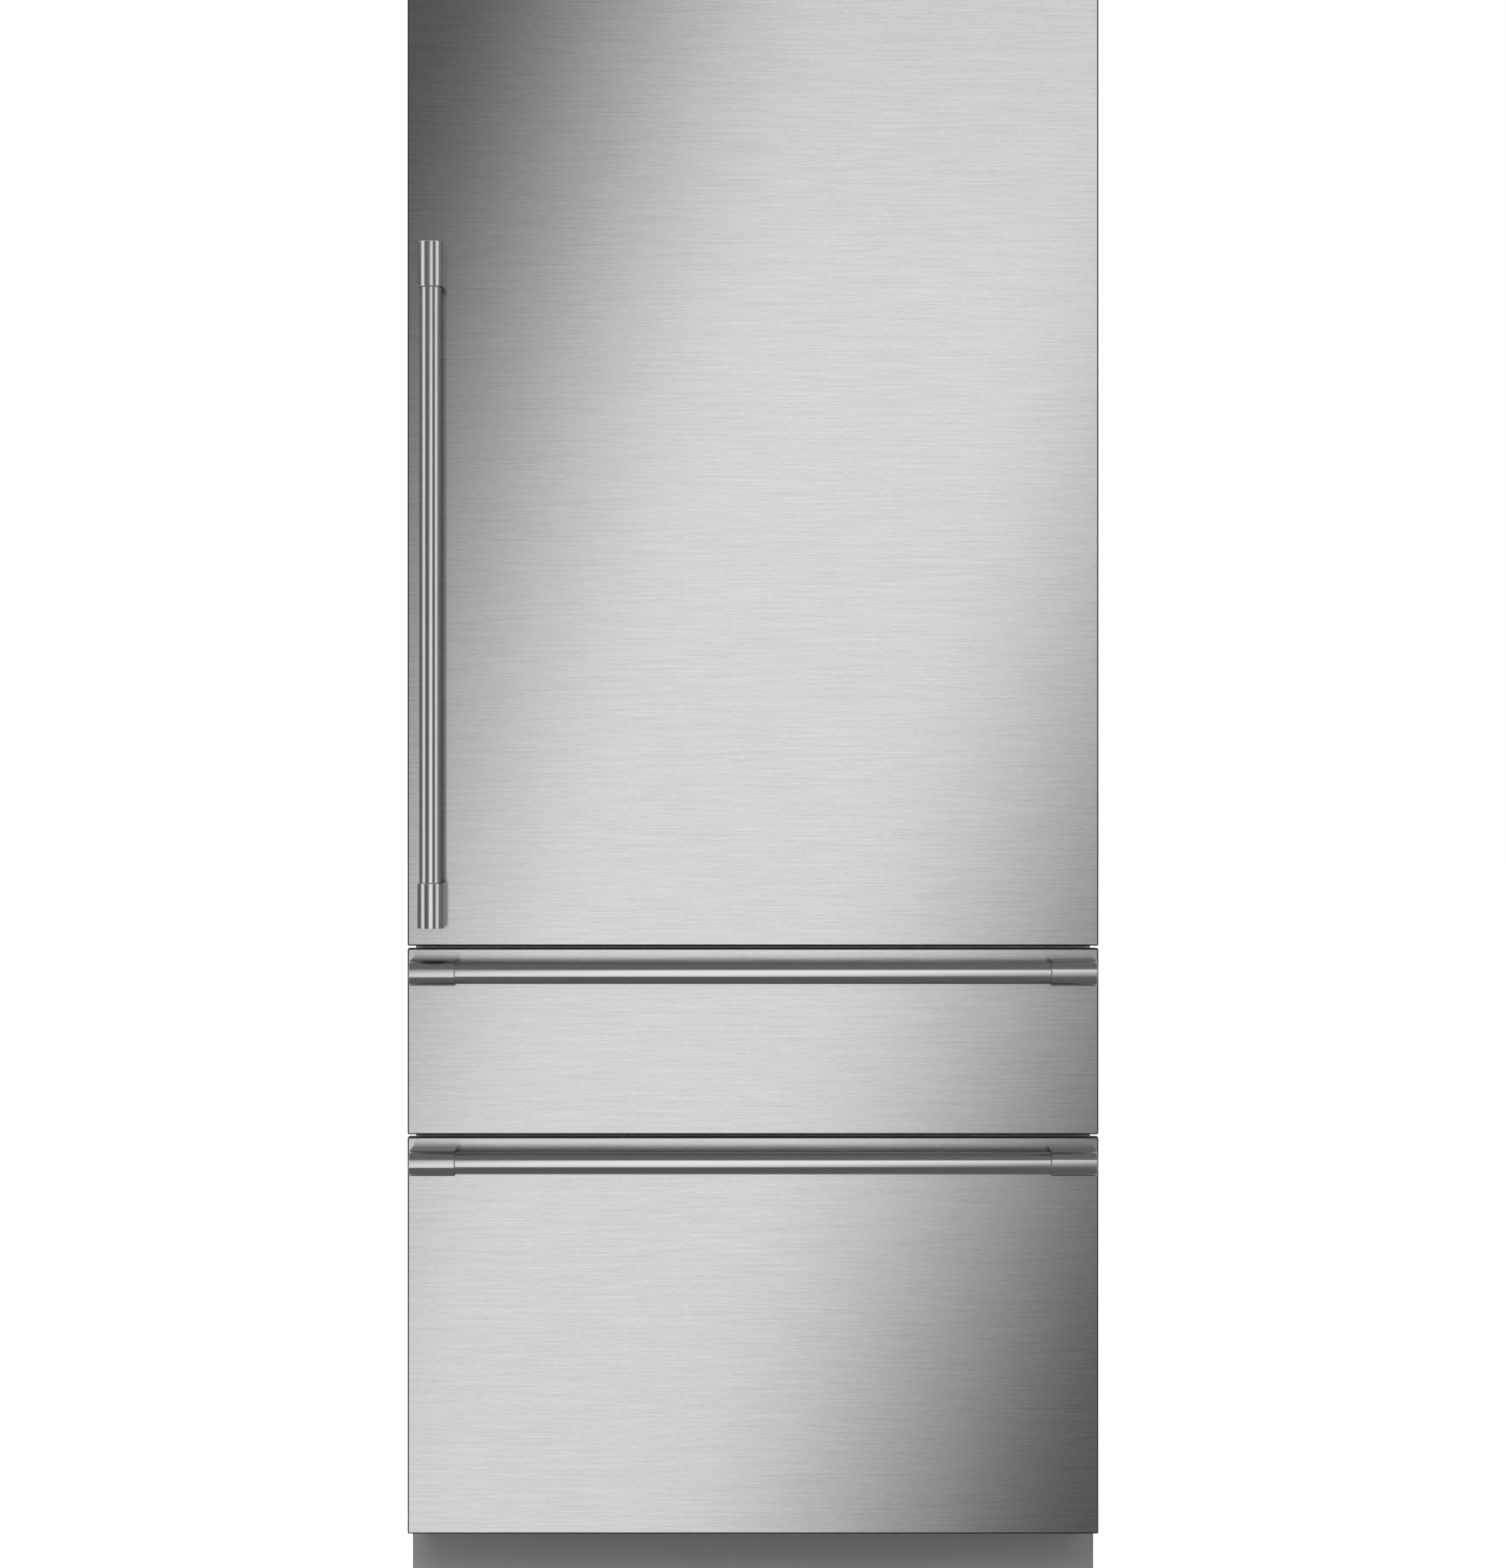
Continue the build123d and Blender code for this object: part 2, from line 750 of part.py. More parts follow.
def evaporator_fan():
    """The fan behind the cover, on a shaft along Y that enters the motor's boss."""
    motor_front = motor_back() - fan_strut
    hub_y = motor_front - motor_gap / 2 - evaporator_hub_length / 2
    shape = fan(evaporator_fan_radius, evaporator_hub_radius, evaporator_hub_length, fan_strut)
    save("evaporator_fan", Pos(0, hub_y, evaporator_fan_z) * Rot(0, 0, 90) * shape)


def air_tower():
    """A duct on the fresh food compartment's rear wall, with a slot above each shelf."""
    y = (liner_back - tower_depth, liner_back)
    z = (crisper_ceiling + tower_end_gap, fresh_ceiling - tower_end_gap)
    tower = block((-tower_width / 2, tower_width / 2), y, z)
    slot_z = z[0] + tower_end_gap / 2
    while slot_z < z[1] - tower_end_gap / 2:
        slot_place = Pos(0, y[0], slot_z)
        tower -= slot_place * Box(tower_width - 2 * tower_depth, tower_depth, 2 * cover_slot_height)
        slot_z += shelf_pitch
    save("air_tower", tower)


# Fresh food compartment


def control_panel():
    """A flat touch panel under the ceiling. Its keys are touch fields, which don't travel."""
    y0 = frame_back + control_setback
    z = (fresh_ceiling - control_height, fresh_ceiling)
    body = block((-control_width / 2, control_width / 2), (y0, y0 + control_depth), z)
    save("control_panel", round_edges(body, control_height / 4, Axis.Z))


def light_bars():
    """A light strip up each side wall, near the front."""
    y0 = frame_back + light_setback
    z = (crisper_ceiling + light_end_gap / 2, fresh_ceiling - light_end_gap)
    bar = block((half_cavity - light_width, half_cavity), (y0, y0 + light_depth), z)
    save("light_bars", *both_sides(bar))


shelf_pitch = (fresh_ceiling - shelf_head_room - crisper_ceiling) / shelf_count
shelf_levels = [crisper_ceiling + (i + 1) * shelf_pitch for i in range(shelf_count)]
track_front = liner_back - track_depth
half_shelf = half_cavity - shelf_side_clearance
shelf_back = liner_back - tower_depth - side_clearance
shelf_front = shelf_back - shelf_depth


def shelf_track():
    """A slotted upright on the rear wall."""
    x = (track_spacing / 2 - track_width / 2, track_spacing / 2 + track_width / 2)
    z = (crisper_ceiling + track_end_gap, fresh_ceiling - track_end_gap)
    track = block(x, (track_front, liner_back), z)
    count = int((z[1] - z[0] - track_slot_pitch) // track_slot_pitch)
    for i in range(count):
        slot_z = z[0] + (i + 1) * track_slot_pitch
        place = Pos(track_spacing / 2, track_front, slot_z)
        track -= place * Box(track_slot_width, track_depth, track_slot_height)
    return track


def shelf_frame(level):
    """Two cantilever brackets and the rims that hold the glass between them."""
    underside = level - shelf_rim_height
    y = (shelf_front, shelf_back)
    bracket_x = (track_spacing / 2 - bracket_plate / 2, track_spacing / 2 + bracket_plate / 2)
    side_profile = Polyline(
        (y[0] + shelf_rim, underside),
        (track_front, underside),
        (track_front, underside - bracket_height),
        (y[0] + shelf_rim, underside - bracket_height / 4),
        close=True,
    )
    arm = extrude(Plane.YZ * make_face(side_profile), bracket_plate)
    bracket = Pos(bracket_x[0], 0, 0) * arm
    x = (-half_shelf, half_shelf)
    front = block(x, (y[0], y[0] + shelf_rim), (underside, level))
    rear = block(x, (y[1] - shelf_rim, y[1]), (underside, level))
    side_y = (y[0] + shelf_rim, y[1] - shelf_rim)
    side = block((half_shelf - shelf_rim, half_shelf), side_y, (underside, level))
    return [*both_sides(bracket, side), front, rear]


def shelf_supports():
    frames = [piece for level in shelf_levels for piece in shelf_frame(level)]
    save("shelf_supports", *both_sides(shelf_track()), *frames)


def shelf_glass():
    """One pane in each shelf's rims, flush with their top."""
    reach = half_shelf - shelf_rim
    y = (shelf_front + shelf_rim, shelf_back - shelf_rim)
    x = (-reach, reach)
    panes = [block(x, y, (level - shelf_glass_thickness, level)) for level in shelf_levels]
    save("shelf_glass", *panes)


crisper_front = case_front + crisper_setback
crisper_y = (crisper_front, crisper_front + crisper_depth)
crisper_top = crisper_ceiling - crisper_flange_drop
crisper_x = (crisper_middle_gap / 2, half_cavity - crisper_side_gap)


def crisper_frame():
    """A cover over the crispers, with the rails that the crispers' flanges run on."""
    rail_y = (crisper_front + crisper_flange_start, liner_back)
    cover_z = (crisper_ceiling - shelf_glass_thickness, crisper_ceiling)
    cover = block((-half_cavity, half_cavity), (crisper_front, liner_back), cover_z)
    rail_top = crisper_top - tub_rim - crisper_rail_gap
    rail_z = (rail_top - crisper_rail_height, rail_top)
    side_rail = block((crisper_x[1] + crisper_rail_gap, half_cavity), rail_y, rail_z)
    hanger_y = (liner_back - shelf_rim, liner_back)
    rear_hanger = block((-half_cavity, half_cavity), hanger_y, (rail_z[0], cover_z[0]))
    save("crisper_frame", sum_of(cover, *both_sides(side_rail), rear_hanger))


def open_box(x, y, z, wall, corner):
    """A bin with rounded upright corners, open at the top."""
    outside = round_edges(block(x, y, z), corner, Axis.Z)
    inner_x = (x[0] + wall, x[1] - wall)
    inner_y = (y[0] + wall, y[1] - wall)
    inside = block(inner_x, inner_y, (z[0] + wall, z[1] + wall))
    return outside - round_edges(inside, corner - wall, Axis.Z)


def crisper(side):
    """One crisper bin, with a flange on its outer side that runs on the side rail."""
    z = (crisper_top - crisper_height, crisper_top)
    body = open_box(crisper_x, crisper_y, z, tub_wall, tub_corner)
    flange_x = (crisper_x[1] - tub_wall, crisper_x[1] + crisper_flange)
    flange_y = (crisper_y[0] + crisper_flange_start + side_clearance, crisper_y[1] - tub_corner)
    body += block(flange_x, flange_y, (crisper_top - tub_rim, crisper_top))
    return body if side > 0 else body.mirror(Plane.YZ)


# Fronts


def front_panel(name, z):
    """A folded stainless pan, with lips at the back that meet the insulated body."""
    x = (-panel_width / 2, panel_width / 2)
    pan = block(x, (panel_front, panel_back), z)
    front_edges = pan.faces().sort_by(Axis.Y)[0].edges()
    pan = fillet(front_edges, panel_edge_radius)
    wall = panel_sheet
    inside_y = (panel_front + wall, panel_back - wall)
    pan -= block((x[0] + wall, x[1] - wall), inside_y, (z[0] + wall, z[1] - wall))
    window_y = (panel_back - 2 * wall, panel_back + wall)
    pan -= block((x[0] + panel_lip, x[1] - panel_lip), window_y, (z[0] + panel_lip, z[1] - panel_lip))
    save(name, pan)


def front_body(z, closed):
    """The insulated body behind a panel: a steel pan, closed at the back or left for a liner."""
    x = (-half_case, half_case)
    body = block(x, (panel_back, body_back), z)
    back = body_back - front_sheet if closed else body_back + front_sheet
    inner_x = (x[0] + front_sheet, x[1] - front_sheet)
    inner_z = (z[0] + front_sheet, z[1] - front_sheet)
    return body - block(inner_x, (panel_back + front_sheet, back), inner_z)


def gasket(name, z, y):
    """A ring around the opening, grooved on the side that meets the case."""
    inner_x = half_cavity + gasket_margin
    inner_z = (z[0] - gasket_margin, z[1] + gasket_margin)
    outer_x = inner_x + gasket_width
    outer_z = (inner_z[0] - gasket_width, inner_z[1] + gasket_width)
    ring = block((-outer_x, outer_x), y, outer_z) - block((-inner_x, inner_x), y, inner_z)
    middle = gasket_width / 2
    groove_y = (y[1] - (y[1] - y[0]) / 3, y[1])
    wide = middle + gasket_groove / 2
    narrow = middle - gasket_groove / 2
    wide_x = inner_x + wide
    wide_z = (inner_z[0] - wide, inner_z[1] + wide)
    narrow_x = inner_x + narrow
    narrow_z = (inner_z[0] - narrow, inner_z[1] + narrow)
    groove = block((-wide_x, wide_x), groove_y, wide_z)
    groove -= block((-narrow_x, narrow_x), groove_y, narrow_z)
    save(name, ring - groove)


def bar_between_caps():
    """A handle's bar along X, centred, with both ends seated in the end pieces."""
    return rod((0, 0, 0), bar_radius, handle_length - 2 * cap_length + 2 * cap_socket, "X")


def handle_end():
    """The end piece at +X: round in front, flat sides back to the panel, bored for the bar."""
    side = Pos(bar_standoff / 2, 0) * Rectangle(bar_standoff, 2 * cap_radius)
    profile = Plane.YZ * (Circle(cap_radius) + side)
    end = extrude(profile, cap_length)
    faces = end.faces().sort_by(Axis.X)
    end = chamfer(faces[0].edges() + faces[-1].edges(), cap_chamfer)
    end = Pos(handle_length / 2 - cap_length, 0, 0) * end
    return end - rod((handle_length / 2 - cap_length, 0, 0), bar_radius, 2 * cap_socket, "X")


def handle(prefix, place):
    """A handle's bar and its two ends, put in place."""
    save(f"{prefix}_handle_bar", place * bar_between_caps())
    save(f"{prefix}_handle_ends", *(place * piece for piece in both_sides(handle_end())))


def drawer_handle(prefix, panel_top):
    handle(prefix, Pos(0, bar_y, panel_top - drawer_handle_drop))


# Door


def hinge_block(z):
    """A steel block in the door's corner that holds one bushing."""
    x = (half_case - hinge_block_width, half_case - front_sheet)
    y = (panel_back + front_sheet, panel_back + hinge_block_depth)
    return block(x, y, z)


bushing_radius = pin_radius + running_clearance + bushing_wall
block_height = pin_reach + 2 * hinge_gap


def door_shell():
    z = (door_body_bottom, door_body_top)
    shell = front_body(z, closed=False)
    shell += hinge_block((z[0], z[0] + block_height))
    shell += hinge_block((z[1] - block_height, z[1]))
    for end in z:
        shell -= rod((pivot_x, pivot_y, end), bushing_radius, 2 * (pin_reach + hinge_gap / 2))
    save("door_shell", shell)


def bushing(z, up):
    """A flanged sleeve in the door, open to the pin. Its flange is outside the door."""
    length = pin_reach + hinge_gap / 2
    sleeve = rod((pivot_x, pivot_y, z + up * length / 2), bushing_radius, length)
    flange = rod((pivot_x, pivot_y, z - up * bushing_flange / 2), bushing_flange_radius, bushing_flange)
    bore_length = length + bushing_flange
    bore = (pivot_x, pivot_y, z + up * (length - bushing_flange) / 2)
    return sleeve + flange - rod(bore, pin_radius + running_clearance, 2 * bore_length)


def door_bushings():
    save("door_bushings", bushing(door_body_bottom, 1), bushing(door_body_top, -1))


def hinge_bracket(plate_z, flange_z):
    """A plate around the pivot and a flange on the case's front."""
    boss = rod((pivot_x, pivot_y, sum(plate_z) / 2), hinge_boss_radius, hinge_plate)
    arm_x = (pivot_x - hinge_arm_in, pivot_x + hinge_arm_out)
    arm = block(arm_x, (pivot_y, case_front), plate_z)
    flange_x = (pivot_x - hinge_arm_in, half_case)
    flange = block(flange_x, (case_front - hinge_plate, case_front), flange_z)
    bracket = boss + arm + flange
    bracket -= rod((pivot_x, pivot_y, sum(plate_z) / 2), pin_radius, 2 * hinge_plate)
    for x, z in hinge_screw_places(flange_z):
        bracket -= rod((x, case_front - hinge_plate / 2, z), screw_radius, 2 * hinge_plate, "Y")
    return bracket


lower_plate_z = (door_body_bottom - hinge_gap - hinge_plate, door_body_bottom - hinge_gap)
upper_plate_z = (door_body_top + hinge_gap, door_body_top + hinge_gap + hinge_plate)
lower_flange_z = (upper_mullion - hinge_flange_height / 2, upper_mullion + hinge_flange_height / 2)
upper_flange_z = (upper_plate_z[1] - hinge_flange_height, upper_plate_z[1])


def hinge_screw_places(flange_z):
    x = pivot_x - hinge_arm_in / 2 + hinge_flange_reach / 2
    drop = hinge_flange_height / 2 - 2 * screw_head_radius
    middle = sum(flange_z) / 2
    return [(x, middle - drop), (x, middle + drop)]


def hinge_brackets():
    lower = hinge_bracket(lower_plate_z, lower_flange_z)
    upper = hinge_bracket(upper_plate_z, upper_flange_z)
    save("hinge_brackets", lower, upper)


def hinge_pins():
    """The pivot pins and the screws that hold the brackets to the case's front."""
    reach = hinge_gap + pin_reach
    lower_z = (lower_plate_z[0], lower_plate_z[1] + reach)
    upper_z = (upper_plate_z[0] - reach, upper_plate_z[1])
    pins = [rod((pivot_x, pivot_y, sum(z) / 2), pin_radius, z[1] - z[0]) for z in (lower_z, upper_z)]
    screws = []
    for flange_z in (lower_flange_z, upper_flange_z):
        for x, z in hinge_screw_places(flange_z):
            screws.append(rod((x, case_front - hinge_plate / 2, z), screw_radius, hinge_plate, "Y"))
    save("hinge_pins", *pins, *screws)


dyke_x = (half_cavity - dyke_inset - dyke_width, half_cavity - dyke_inset)
half_bin = dyke_x[0] - bin_side_clearance
lowest_bin = crisper_ceiling + bin_foot_room
highest_bin = fresh_ceiling - bin_head_room - bin_height
bin_pitch = (highest_bin - lowest_bin) / (bin_count - 1)
bin_levels = [lowest_bin + i * bin_pitch for i in range(bin_count)]


def door_liner():
    """The door's inner plate, with two dykes and the lugs that carry the bins."""
    y = (body_back, liner_plate_back)
    liner = block((-half_case, half_case), y, (door_body_bottom, door_body_top))
    dyke_z = (fresh_floor + dyke_bottom_gap, fresh_ceiling - dyke_top_gap)
    dyke = block(dyke_x, (body_back, liner_plate_back + dyke_depth), dyke_z)
    dyke = round_edges(dyke, bin_corner / 2, Axis.Z)
    lugs = []
    for level in bin_levels:
        lug_x = (dyke_x[0] - lug_reach, dyke_x[0] + lug_reach)
        lug_y = (liner_plate_back, liner_plate_back + lug_length)
        lugs.append(block(lug_x, lug_y, (level - lug_height, level)))
    save("door_liner", sum_of(liner, *both_sides(dyke, *lugs)))


def door_bin(name, level):
    y = (liner_plate_back + gasket_clearance, liner_plate_back + gasket_clearance + bin_depth)
    save(name, open_box((-half_bin, half_bin), y, (level, level + bin_height), bin_wall, bin_corner))


def door():
    front_panel("door_panel", (door_panel_bottom, door_panel_top))
    door_shell()
    door_liner()
    gasket("door_gasket", fresh_z, (liner_plate_back, case_front - gasket_clearance))
    door_bushings()
    handle_z = door_panel_bottom + door_handle_lift + handle_length / 2
    handle("door", Pos(-panel_width / 2 + door_handle_inset, bar_y, handle_z) * Rot(0, 90, 0))
    for name, level in zip(("lower_bin", "middle_bin", "upper_bin"), bin_levels):
        door_bin(name, level)


# Drawers


def channel(x_outer, x_inner, z, y):
    """A C channel on the +X side, open towards the middle of the object."""
    outside = block((x_inner, x_outer), y, z)
    hollow = block((x_inner, x_outer - slide_steel), y, (z[0] + slide_steel, z[1] - slide_steel))
    return outside - hollow


def slide_set(top, length):
    """The outer, intermediate and inner members of the slide on the +X side."""
    y = (frame_back + slide_start, frame_back + slide_start + length)
    z = (top - slide_height, top)
    outer = channel(half_cavity, slide_inner_face + slide_clearance, z, y)
    step = slide_steel + slide_clearance
    middle_z = (z[0] + step, z[1] - step)
    middle = channel(half_cavity - step, slide_inner_face + slide_clearance, middle_z, y)
    centre = sum(z) / 2
    inner_z = (centre - slide_inner_height / 2, centre + slide_inner_height / 2)
    inner_x = (half_tub, half_cavity - step - slide_steel - slide_clearance)
    inner = block(inner_x, (body_back, y[1]), inner_z)
    return outer, middle, inner


middle_slide = slide_set(middle_ceiling - middle_slide_drop, middle_slide_length)
freezer_slide = slide_set(freezer_ceiling - freezer_slide_drop, freezer_slide_length)


def slides():
    save("slide_outers", *both_sides(middle_slide[0], freezer_slide[0]))
    save("middle_slide_members", *both_sides(middle_slide[1]))
    save("freezer_slide_members", *both_sides(freezer_slide[1]))
    save("middle_slide_runners", *both_sides(middle_slide[2]))
    save("freezer_slide_runners", *both_sides(freezer_slide[2]))


def drawer_tub(name, z, depth):
    x = (-half_tub, half_tub)
    save(name, open_box(x, (body_back, body_back + depth), z, tub_wall, tub_corner))


def middle_drawer():
    z = (middle_panel_bottom, middle_panel_top)
    front_panel("middle_panel", z)
    save("middle_front", front_body((z[0] + front_inset, z[1] - front_inset), closed=True))
    gasket("middle_gasket", middle_z, (body_back, case_front - gasket_clearance))
    drawer_handle("middle", z[1])
    tub_z = (middle_floor + tub_floor_clearance, middle_ceiling - tub_head_clearance)
    drawer_tub("middle_tub", tub_z, middle_tub_depth)


def freezer_drawer():
    z = (freezer_panel_bottom, freezer_panel_top)
    front_panel("freezer_panel", z)
    save("freezer_front", front_body((z[0] + front_inset, z[1] - front_inset), closed=True))
    gasket("freezer_gasket", freezer_z, (body_back, case_front - gasket_clearance))
    drawer_handle("freezer", z[1])
    bottom = freezer_floor + tub_floor_clearance
    drawer_tub("freezer_basket", (bottom, bottom + freezer_basket_height), freezer_basket_depth)


def freezer_tray():
    """The upper tray. Its side rims run on the liner's ledges."""
    half_tray = half_cavity - tray_ledge - freezer_tray_gap
    y0 = body_back + freezer_tray_setback
    top = freezer_ceiling - freezer_tray_drop
    y = (y0, y0 + freezer_tray_depth)
    tray = open_box((-half_tray, half_tray), y, (top - freezer_tray_height, top), tub_wall, tub_corner)
    rim_x = (half_tray - tub_wall, half_cavity - freezer_tray_gap)
    rim_y = (case_front + side_clearance, y[1] - tub_corner)
    rim = block(rim_x, rim_y, (top - tub_rim, top))
    save("freezer_tray", sum_of(tray, *both_sides(rim)))


os.makedirs("parts", exist_ok=True)

case_wrapper()
rear_panel()
bottom_panel()
front_frame()
insulation_foam()
fresh_food_liner()
middle_liner()
freezer_liner()
base_frame()
levelling_legs()
rear_rollers()
toe_kick()
machine_cover()
power_inlet()
condenser()
drain_pan()
condenser_fan()
condenser_fan_housing()
compressor()
evaporator()
evaporator_cover()
evaporator_fan()
air_tower()
control_panel()
light_bars()
shelf_supports()
shelf_glass()
crisper_frame()
save("crisper_left", crisper(-1))
save("crisper_right", crisper(1))
hinge_brackets()
hinge_pins()
slides()
door()
middle_drawer()
freezer_drawer()
freezer_tray()
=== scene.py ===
# %% [markdown]
# # A built-in bottom freezer refrigerator
#
# The CAD model gives the sizes and the places. This script loads it as a frame, keeps each CAD part
# whose shape is already right, and models again the ones that show most: the folded fronts, the
# handles, the seals, the moulded bins and the rear sheet. Everything is in metres and stands where
# the CAD stands. Small sizes are written in millimetres, times MM.

# %% Load the frame
import json
import math

import bmesh
import bpy
from mathutils import Matrix, Vector


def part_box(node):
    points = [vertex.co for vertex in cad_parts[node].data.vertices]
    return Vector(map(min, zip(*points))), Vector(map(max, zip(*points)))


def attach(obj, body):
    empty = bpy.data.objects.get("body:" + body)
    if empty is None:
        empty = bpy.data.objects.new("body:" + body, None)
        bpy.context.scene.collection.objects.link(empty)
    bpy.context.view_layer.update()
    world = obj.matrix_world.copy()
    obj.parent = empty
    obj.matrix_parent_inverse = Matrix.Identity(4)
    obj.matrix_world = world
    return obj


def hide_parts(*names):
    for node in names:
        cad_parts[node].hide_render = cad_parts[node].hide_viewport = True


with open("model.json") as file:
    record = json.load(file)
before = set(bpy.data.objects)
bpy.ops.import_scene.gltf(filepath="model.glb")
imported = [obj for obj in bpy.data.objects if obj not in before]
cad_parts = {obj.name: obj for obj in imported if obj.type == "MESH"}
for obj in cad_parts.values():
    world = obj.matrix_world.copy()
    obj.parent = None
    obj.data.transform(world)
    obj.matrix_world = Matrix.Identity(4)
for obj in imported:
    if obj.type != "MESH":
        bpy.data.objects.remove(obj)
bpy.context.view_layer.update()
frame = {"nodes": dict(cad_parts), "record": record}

MM = 0.001
nodes = frame["nodes"]
record = frame["record"]
body_of = {node: body for body, members in record["behaviour"]["bodies"].items() for node in members}
slot_of = {part["node"]: part["material_slot"] for part in record["subparts"]}

# %% [markdown]
# ## Camera
#
# The photograph is a straight front view with hardly any perspective, taken from a little above half
# the refrigerator's height. A long lens from six metres away gives that, and a small shift frames
# the cropped top and bottom.

# %% Put the camera in front
camera_distance = 5.9737
camera_height = 1.1712
camera_lens = 99.57
camera_shift = -0.0408


def into_scene(name, data):
    """A new object in the scene, for a mesh, a lamp or the camera."""
    thing = bpy.data.objects.new(name, data)
    bpy.context.scene.collection.objects.link(thing)
    return thing


camera_data = bpy.data.cameras.new("camera")
camera_data.lens = camera_lens
camera_data.shift_y = camera_shift
camera = into_scene("camera", camera_data)
camera.location = (0, -camera_distance, camera_height)
camera.rotation_euler = (math.radians(90), 0, 0)
bpy.context.scene.camera = camera
bpy.context.scene.view_settings.view_transform = "Standard"
print("camera at", tuple(camera.location))

# %% [markdown]
# ## Node helpers
#
# A material or a world is a small graph. These helpers add one node each, so that a graph reads as
# a few lines of arithmetic, which is easier to follow and to change than nodes drawn in the editor.

# %% Write short names for common nodes


def add(tree, kind, **settings):
    """Adds a node and sets its own settings."""
    node = tree.nodes.new(kind)
    for name, value in settings.items():
        setattr(node, name, value)
    return node


def feed(tree, socket, value):
    """Links an output to a socket, or writes a plain value there."""
    if isinstance(value, bpy.types.NodeSocket):
        tree.links.new(value, socket)
    else:
        socket.default_value = value


def math_node(tree, operation, *values):
    """One step of arithmetic."""
    node = add(tree, "ShaderNodeMath", operation=operation)
    for socket, value in zip(node.inputs, values):
        feed(tree, socket, value)
    return node.outputs["Value"]


def axes_of(tree, vector):
    """The X, Y and Z of a vector."""
    node = add(tree, "ShaderNodeSeparateXYZ")
    feed(tree, node.inputs[0], vector)
    return node.outputs


def grey(shade):
    """A colour without any hue."""
    return (shade, shade, shade, 1)


print("node helpers ready")

# %% Write soft steps and masks


def soft_step(tree, value, low, high):
    """Rises smoothly from 0 at low to 1 at high, or falls if high is below low."""
    falling = high < low
    node = add(tree, "ShaderNodeMapRange", interpolation_type="SMOOTHSTEP")
    feed(tree, node.inputs["Value"], value)
    node.inputs["From Min"].default_value = min(low, high)
    node.inputs["From Max"].default_value = max(low, high)
    node.inputs["To Min"].default_value = 1 if falling else 0
    node.inputs["To Max"].default_value = 0 if falling else 1
    return node.outputs["Result"]


def between(tree, value, start, stop, softness):
    """1 between two values and 0 outside them, with soft ends."""
    rising = soft_step(tree, value, start - softness, start + softness)
    falling = soft_step(tree, value, stop + softness, stop - softness)
    return math_node(tree, "MULTIPLY", rising, falling)


def dimmed(tree, light, mask, left):
    """Takes light away where the mask is 1, down to what is left."""
    kept = math_node(tree, "MULTIPLY_ADD", mask, left - 1.0, 1.0)
    return math_node(tree, "MULTIPLY", light, kept)


print("mask helpers ready")

# %% [markdown]
# ## The studio around the steel
#
# Brushed steel has hardly a colour of its own: what we see in it is the studio. A photographer
# lights it with a white room and black flags. The flags could be sheets that hang in the scene, but
# the round bars are curved enough to see far round the room, so they are drawn on the world instead,
# by direction. First the direction of a ray is split into the numbers that the flags need.

# %% Read the direction of a ray
world = bpy.data.worlds.new("studio")
bpy.context.scene.world = world
world.use_nodes = True
sky = world.node_tree
sky.nodes.clear()

direction = axes_of(sky, add(sky, "ShaderNodeTexCoord").outputs["Generated"])
right = direction["X"]
up = direction["Z"]
ahead = math_node(sky, "MULTIPLY", direction["Y"], -1.0)
azimuth = math_node(sky, "ARCTAN2", right, ahead)
elevation = math_node(sky, "ARCTAN2", up, ahead)
print("the world's direction takes", len(sky.nodes), "nodes")

# %% [markdown]
# The photograph shows a few narrow bright stripes on a dark ground in the bars. So two dark strips
# cross in front of the white room: one at eye level, with a gap ahead and one at each side, and one
# that goes over the top and under the floor, open in front and behind. Shallow grey bays beside them
# keep the fronts from turning plain white in the other views. A third number is an edge's softness.

# %% Mask the dark strips and the grey bays
strip_edges = (-0.21, 0.21, 0.05)
centre_gap_edges = (-0.22, 0.46, 0.03)
left_gap_edges = (-1.46, -0.90, 0.04)
right_gap_edges = (0.98, 1.47, 0.04)
side_gap_light = 0.80
front_gap_edges = (-0.60, 0.60, 0.03)
behind_edges = (-0.3, -0.6)
bay_inner_edges = (0.24, 0.48)
bay_outer_edges = (0.95, 0.55)
low_bay_edges = (0.1, -0.7)
low_bay_share = 0.6

centre_gap = between(sky, azimuth, *centre_gap_edges)
left_gap = between(sky, azimuth, *left_gap_edges)
right_gap = between(sky, azimuth, *right_gap_edges)
side_gaps = math_node(sky, "MULTIPLY", math_node(sky, "ADD", left_gap, right_gap), side_gap_light)
gaps = math_node(sky, "MAXIMUM", centre_gap, side_gaps)
eye_level = between(sky, up, *strip_edges)
level_strip = math_node(sky, "MULTIPLY", eye_level, math_node(sky, "SUBTRACT", 1.0, gaps))

front_gap = between(sky, elevation, *front_gap_edges)
behind = soft_step(sky, ahead, *behind_edges)
arch = math_node(sky, "SUBTRACT", 1.0, math_node(sky, "MAXIMUM", front_gap, behind))
upright_strip = math_node(sky, "MULTIPLY", between(sky, right, *strip_edges), arch)
strips = math_node(sky, "MAXIMUM", level_strip, upright_strip)

side_angle = math_node(sky, "ABSOLUTE", azimuth)
bay_inner = soft_step(sky, side_angle, *bay_inner_edges)
bay_outer = soft_step(sky, side_angle, *bay_outer_edges)
low_bay = math_node(sky, "MULTIPLY", soft_step(sky, up, *low_bay_edges), low_bay_share)
bays = math_node(sky, "MAXIMUM", math_node(sky, "MULTIPLY", bay_inner, bay_outer), low_bay)
print("the strips and bays bring it to", len(sky.nodes), "nodes")

# %% [markdown]
# What a ray sees depends on its kind. A look straight from the camera, or through glass, sees a white
# room. A glossy ray sees the strips and the bays. Where steel shows in steel, as a handle's back does
# in the front behind it, the photograph is darker than a white room would make it, so a ray that has
# met steel twice sees the studio dimmed, and one that has met it three times sees it dimmer still.
# The soft light that reaches paint and plastic comes a little more from the left.

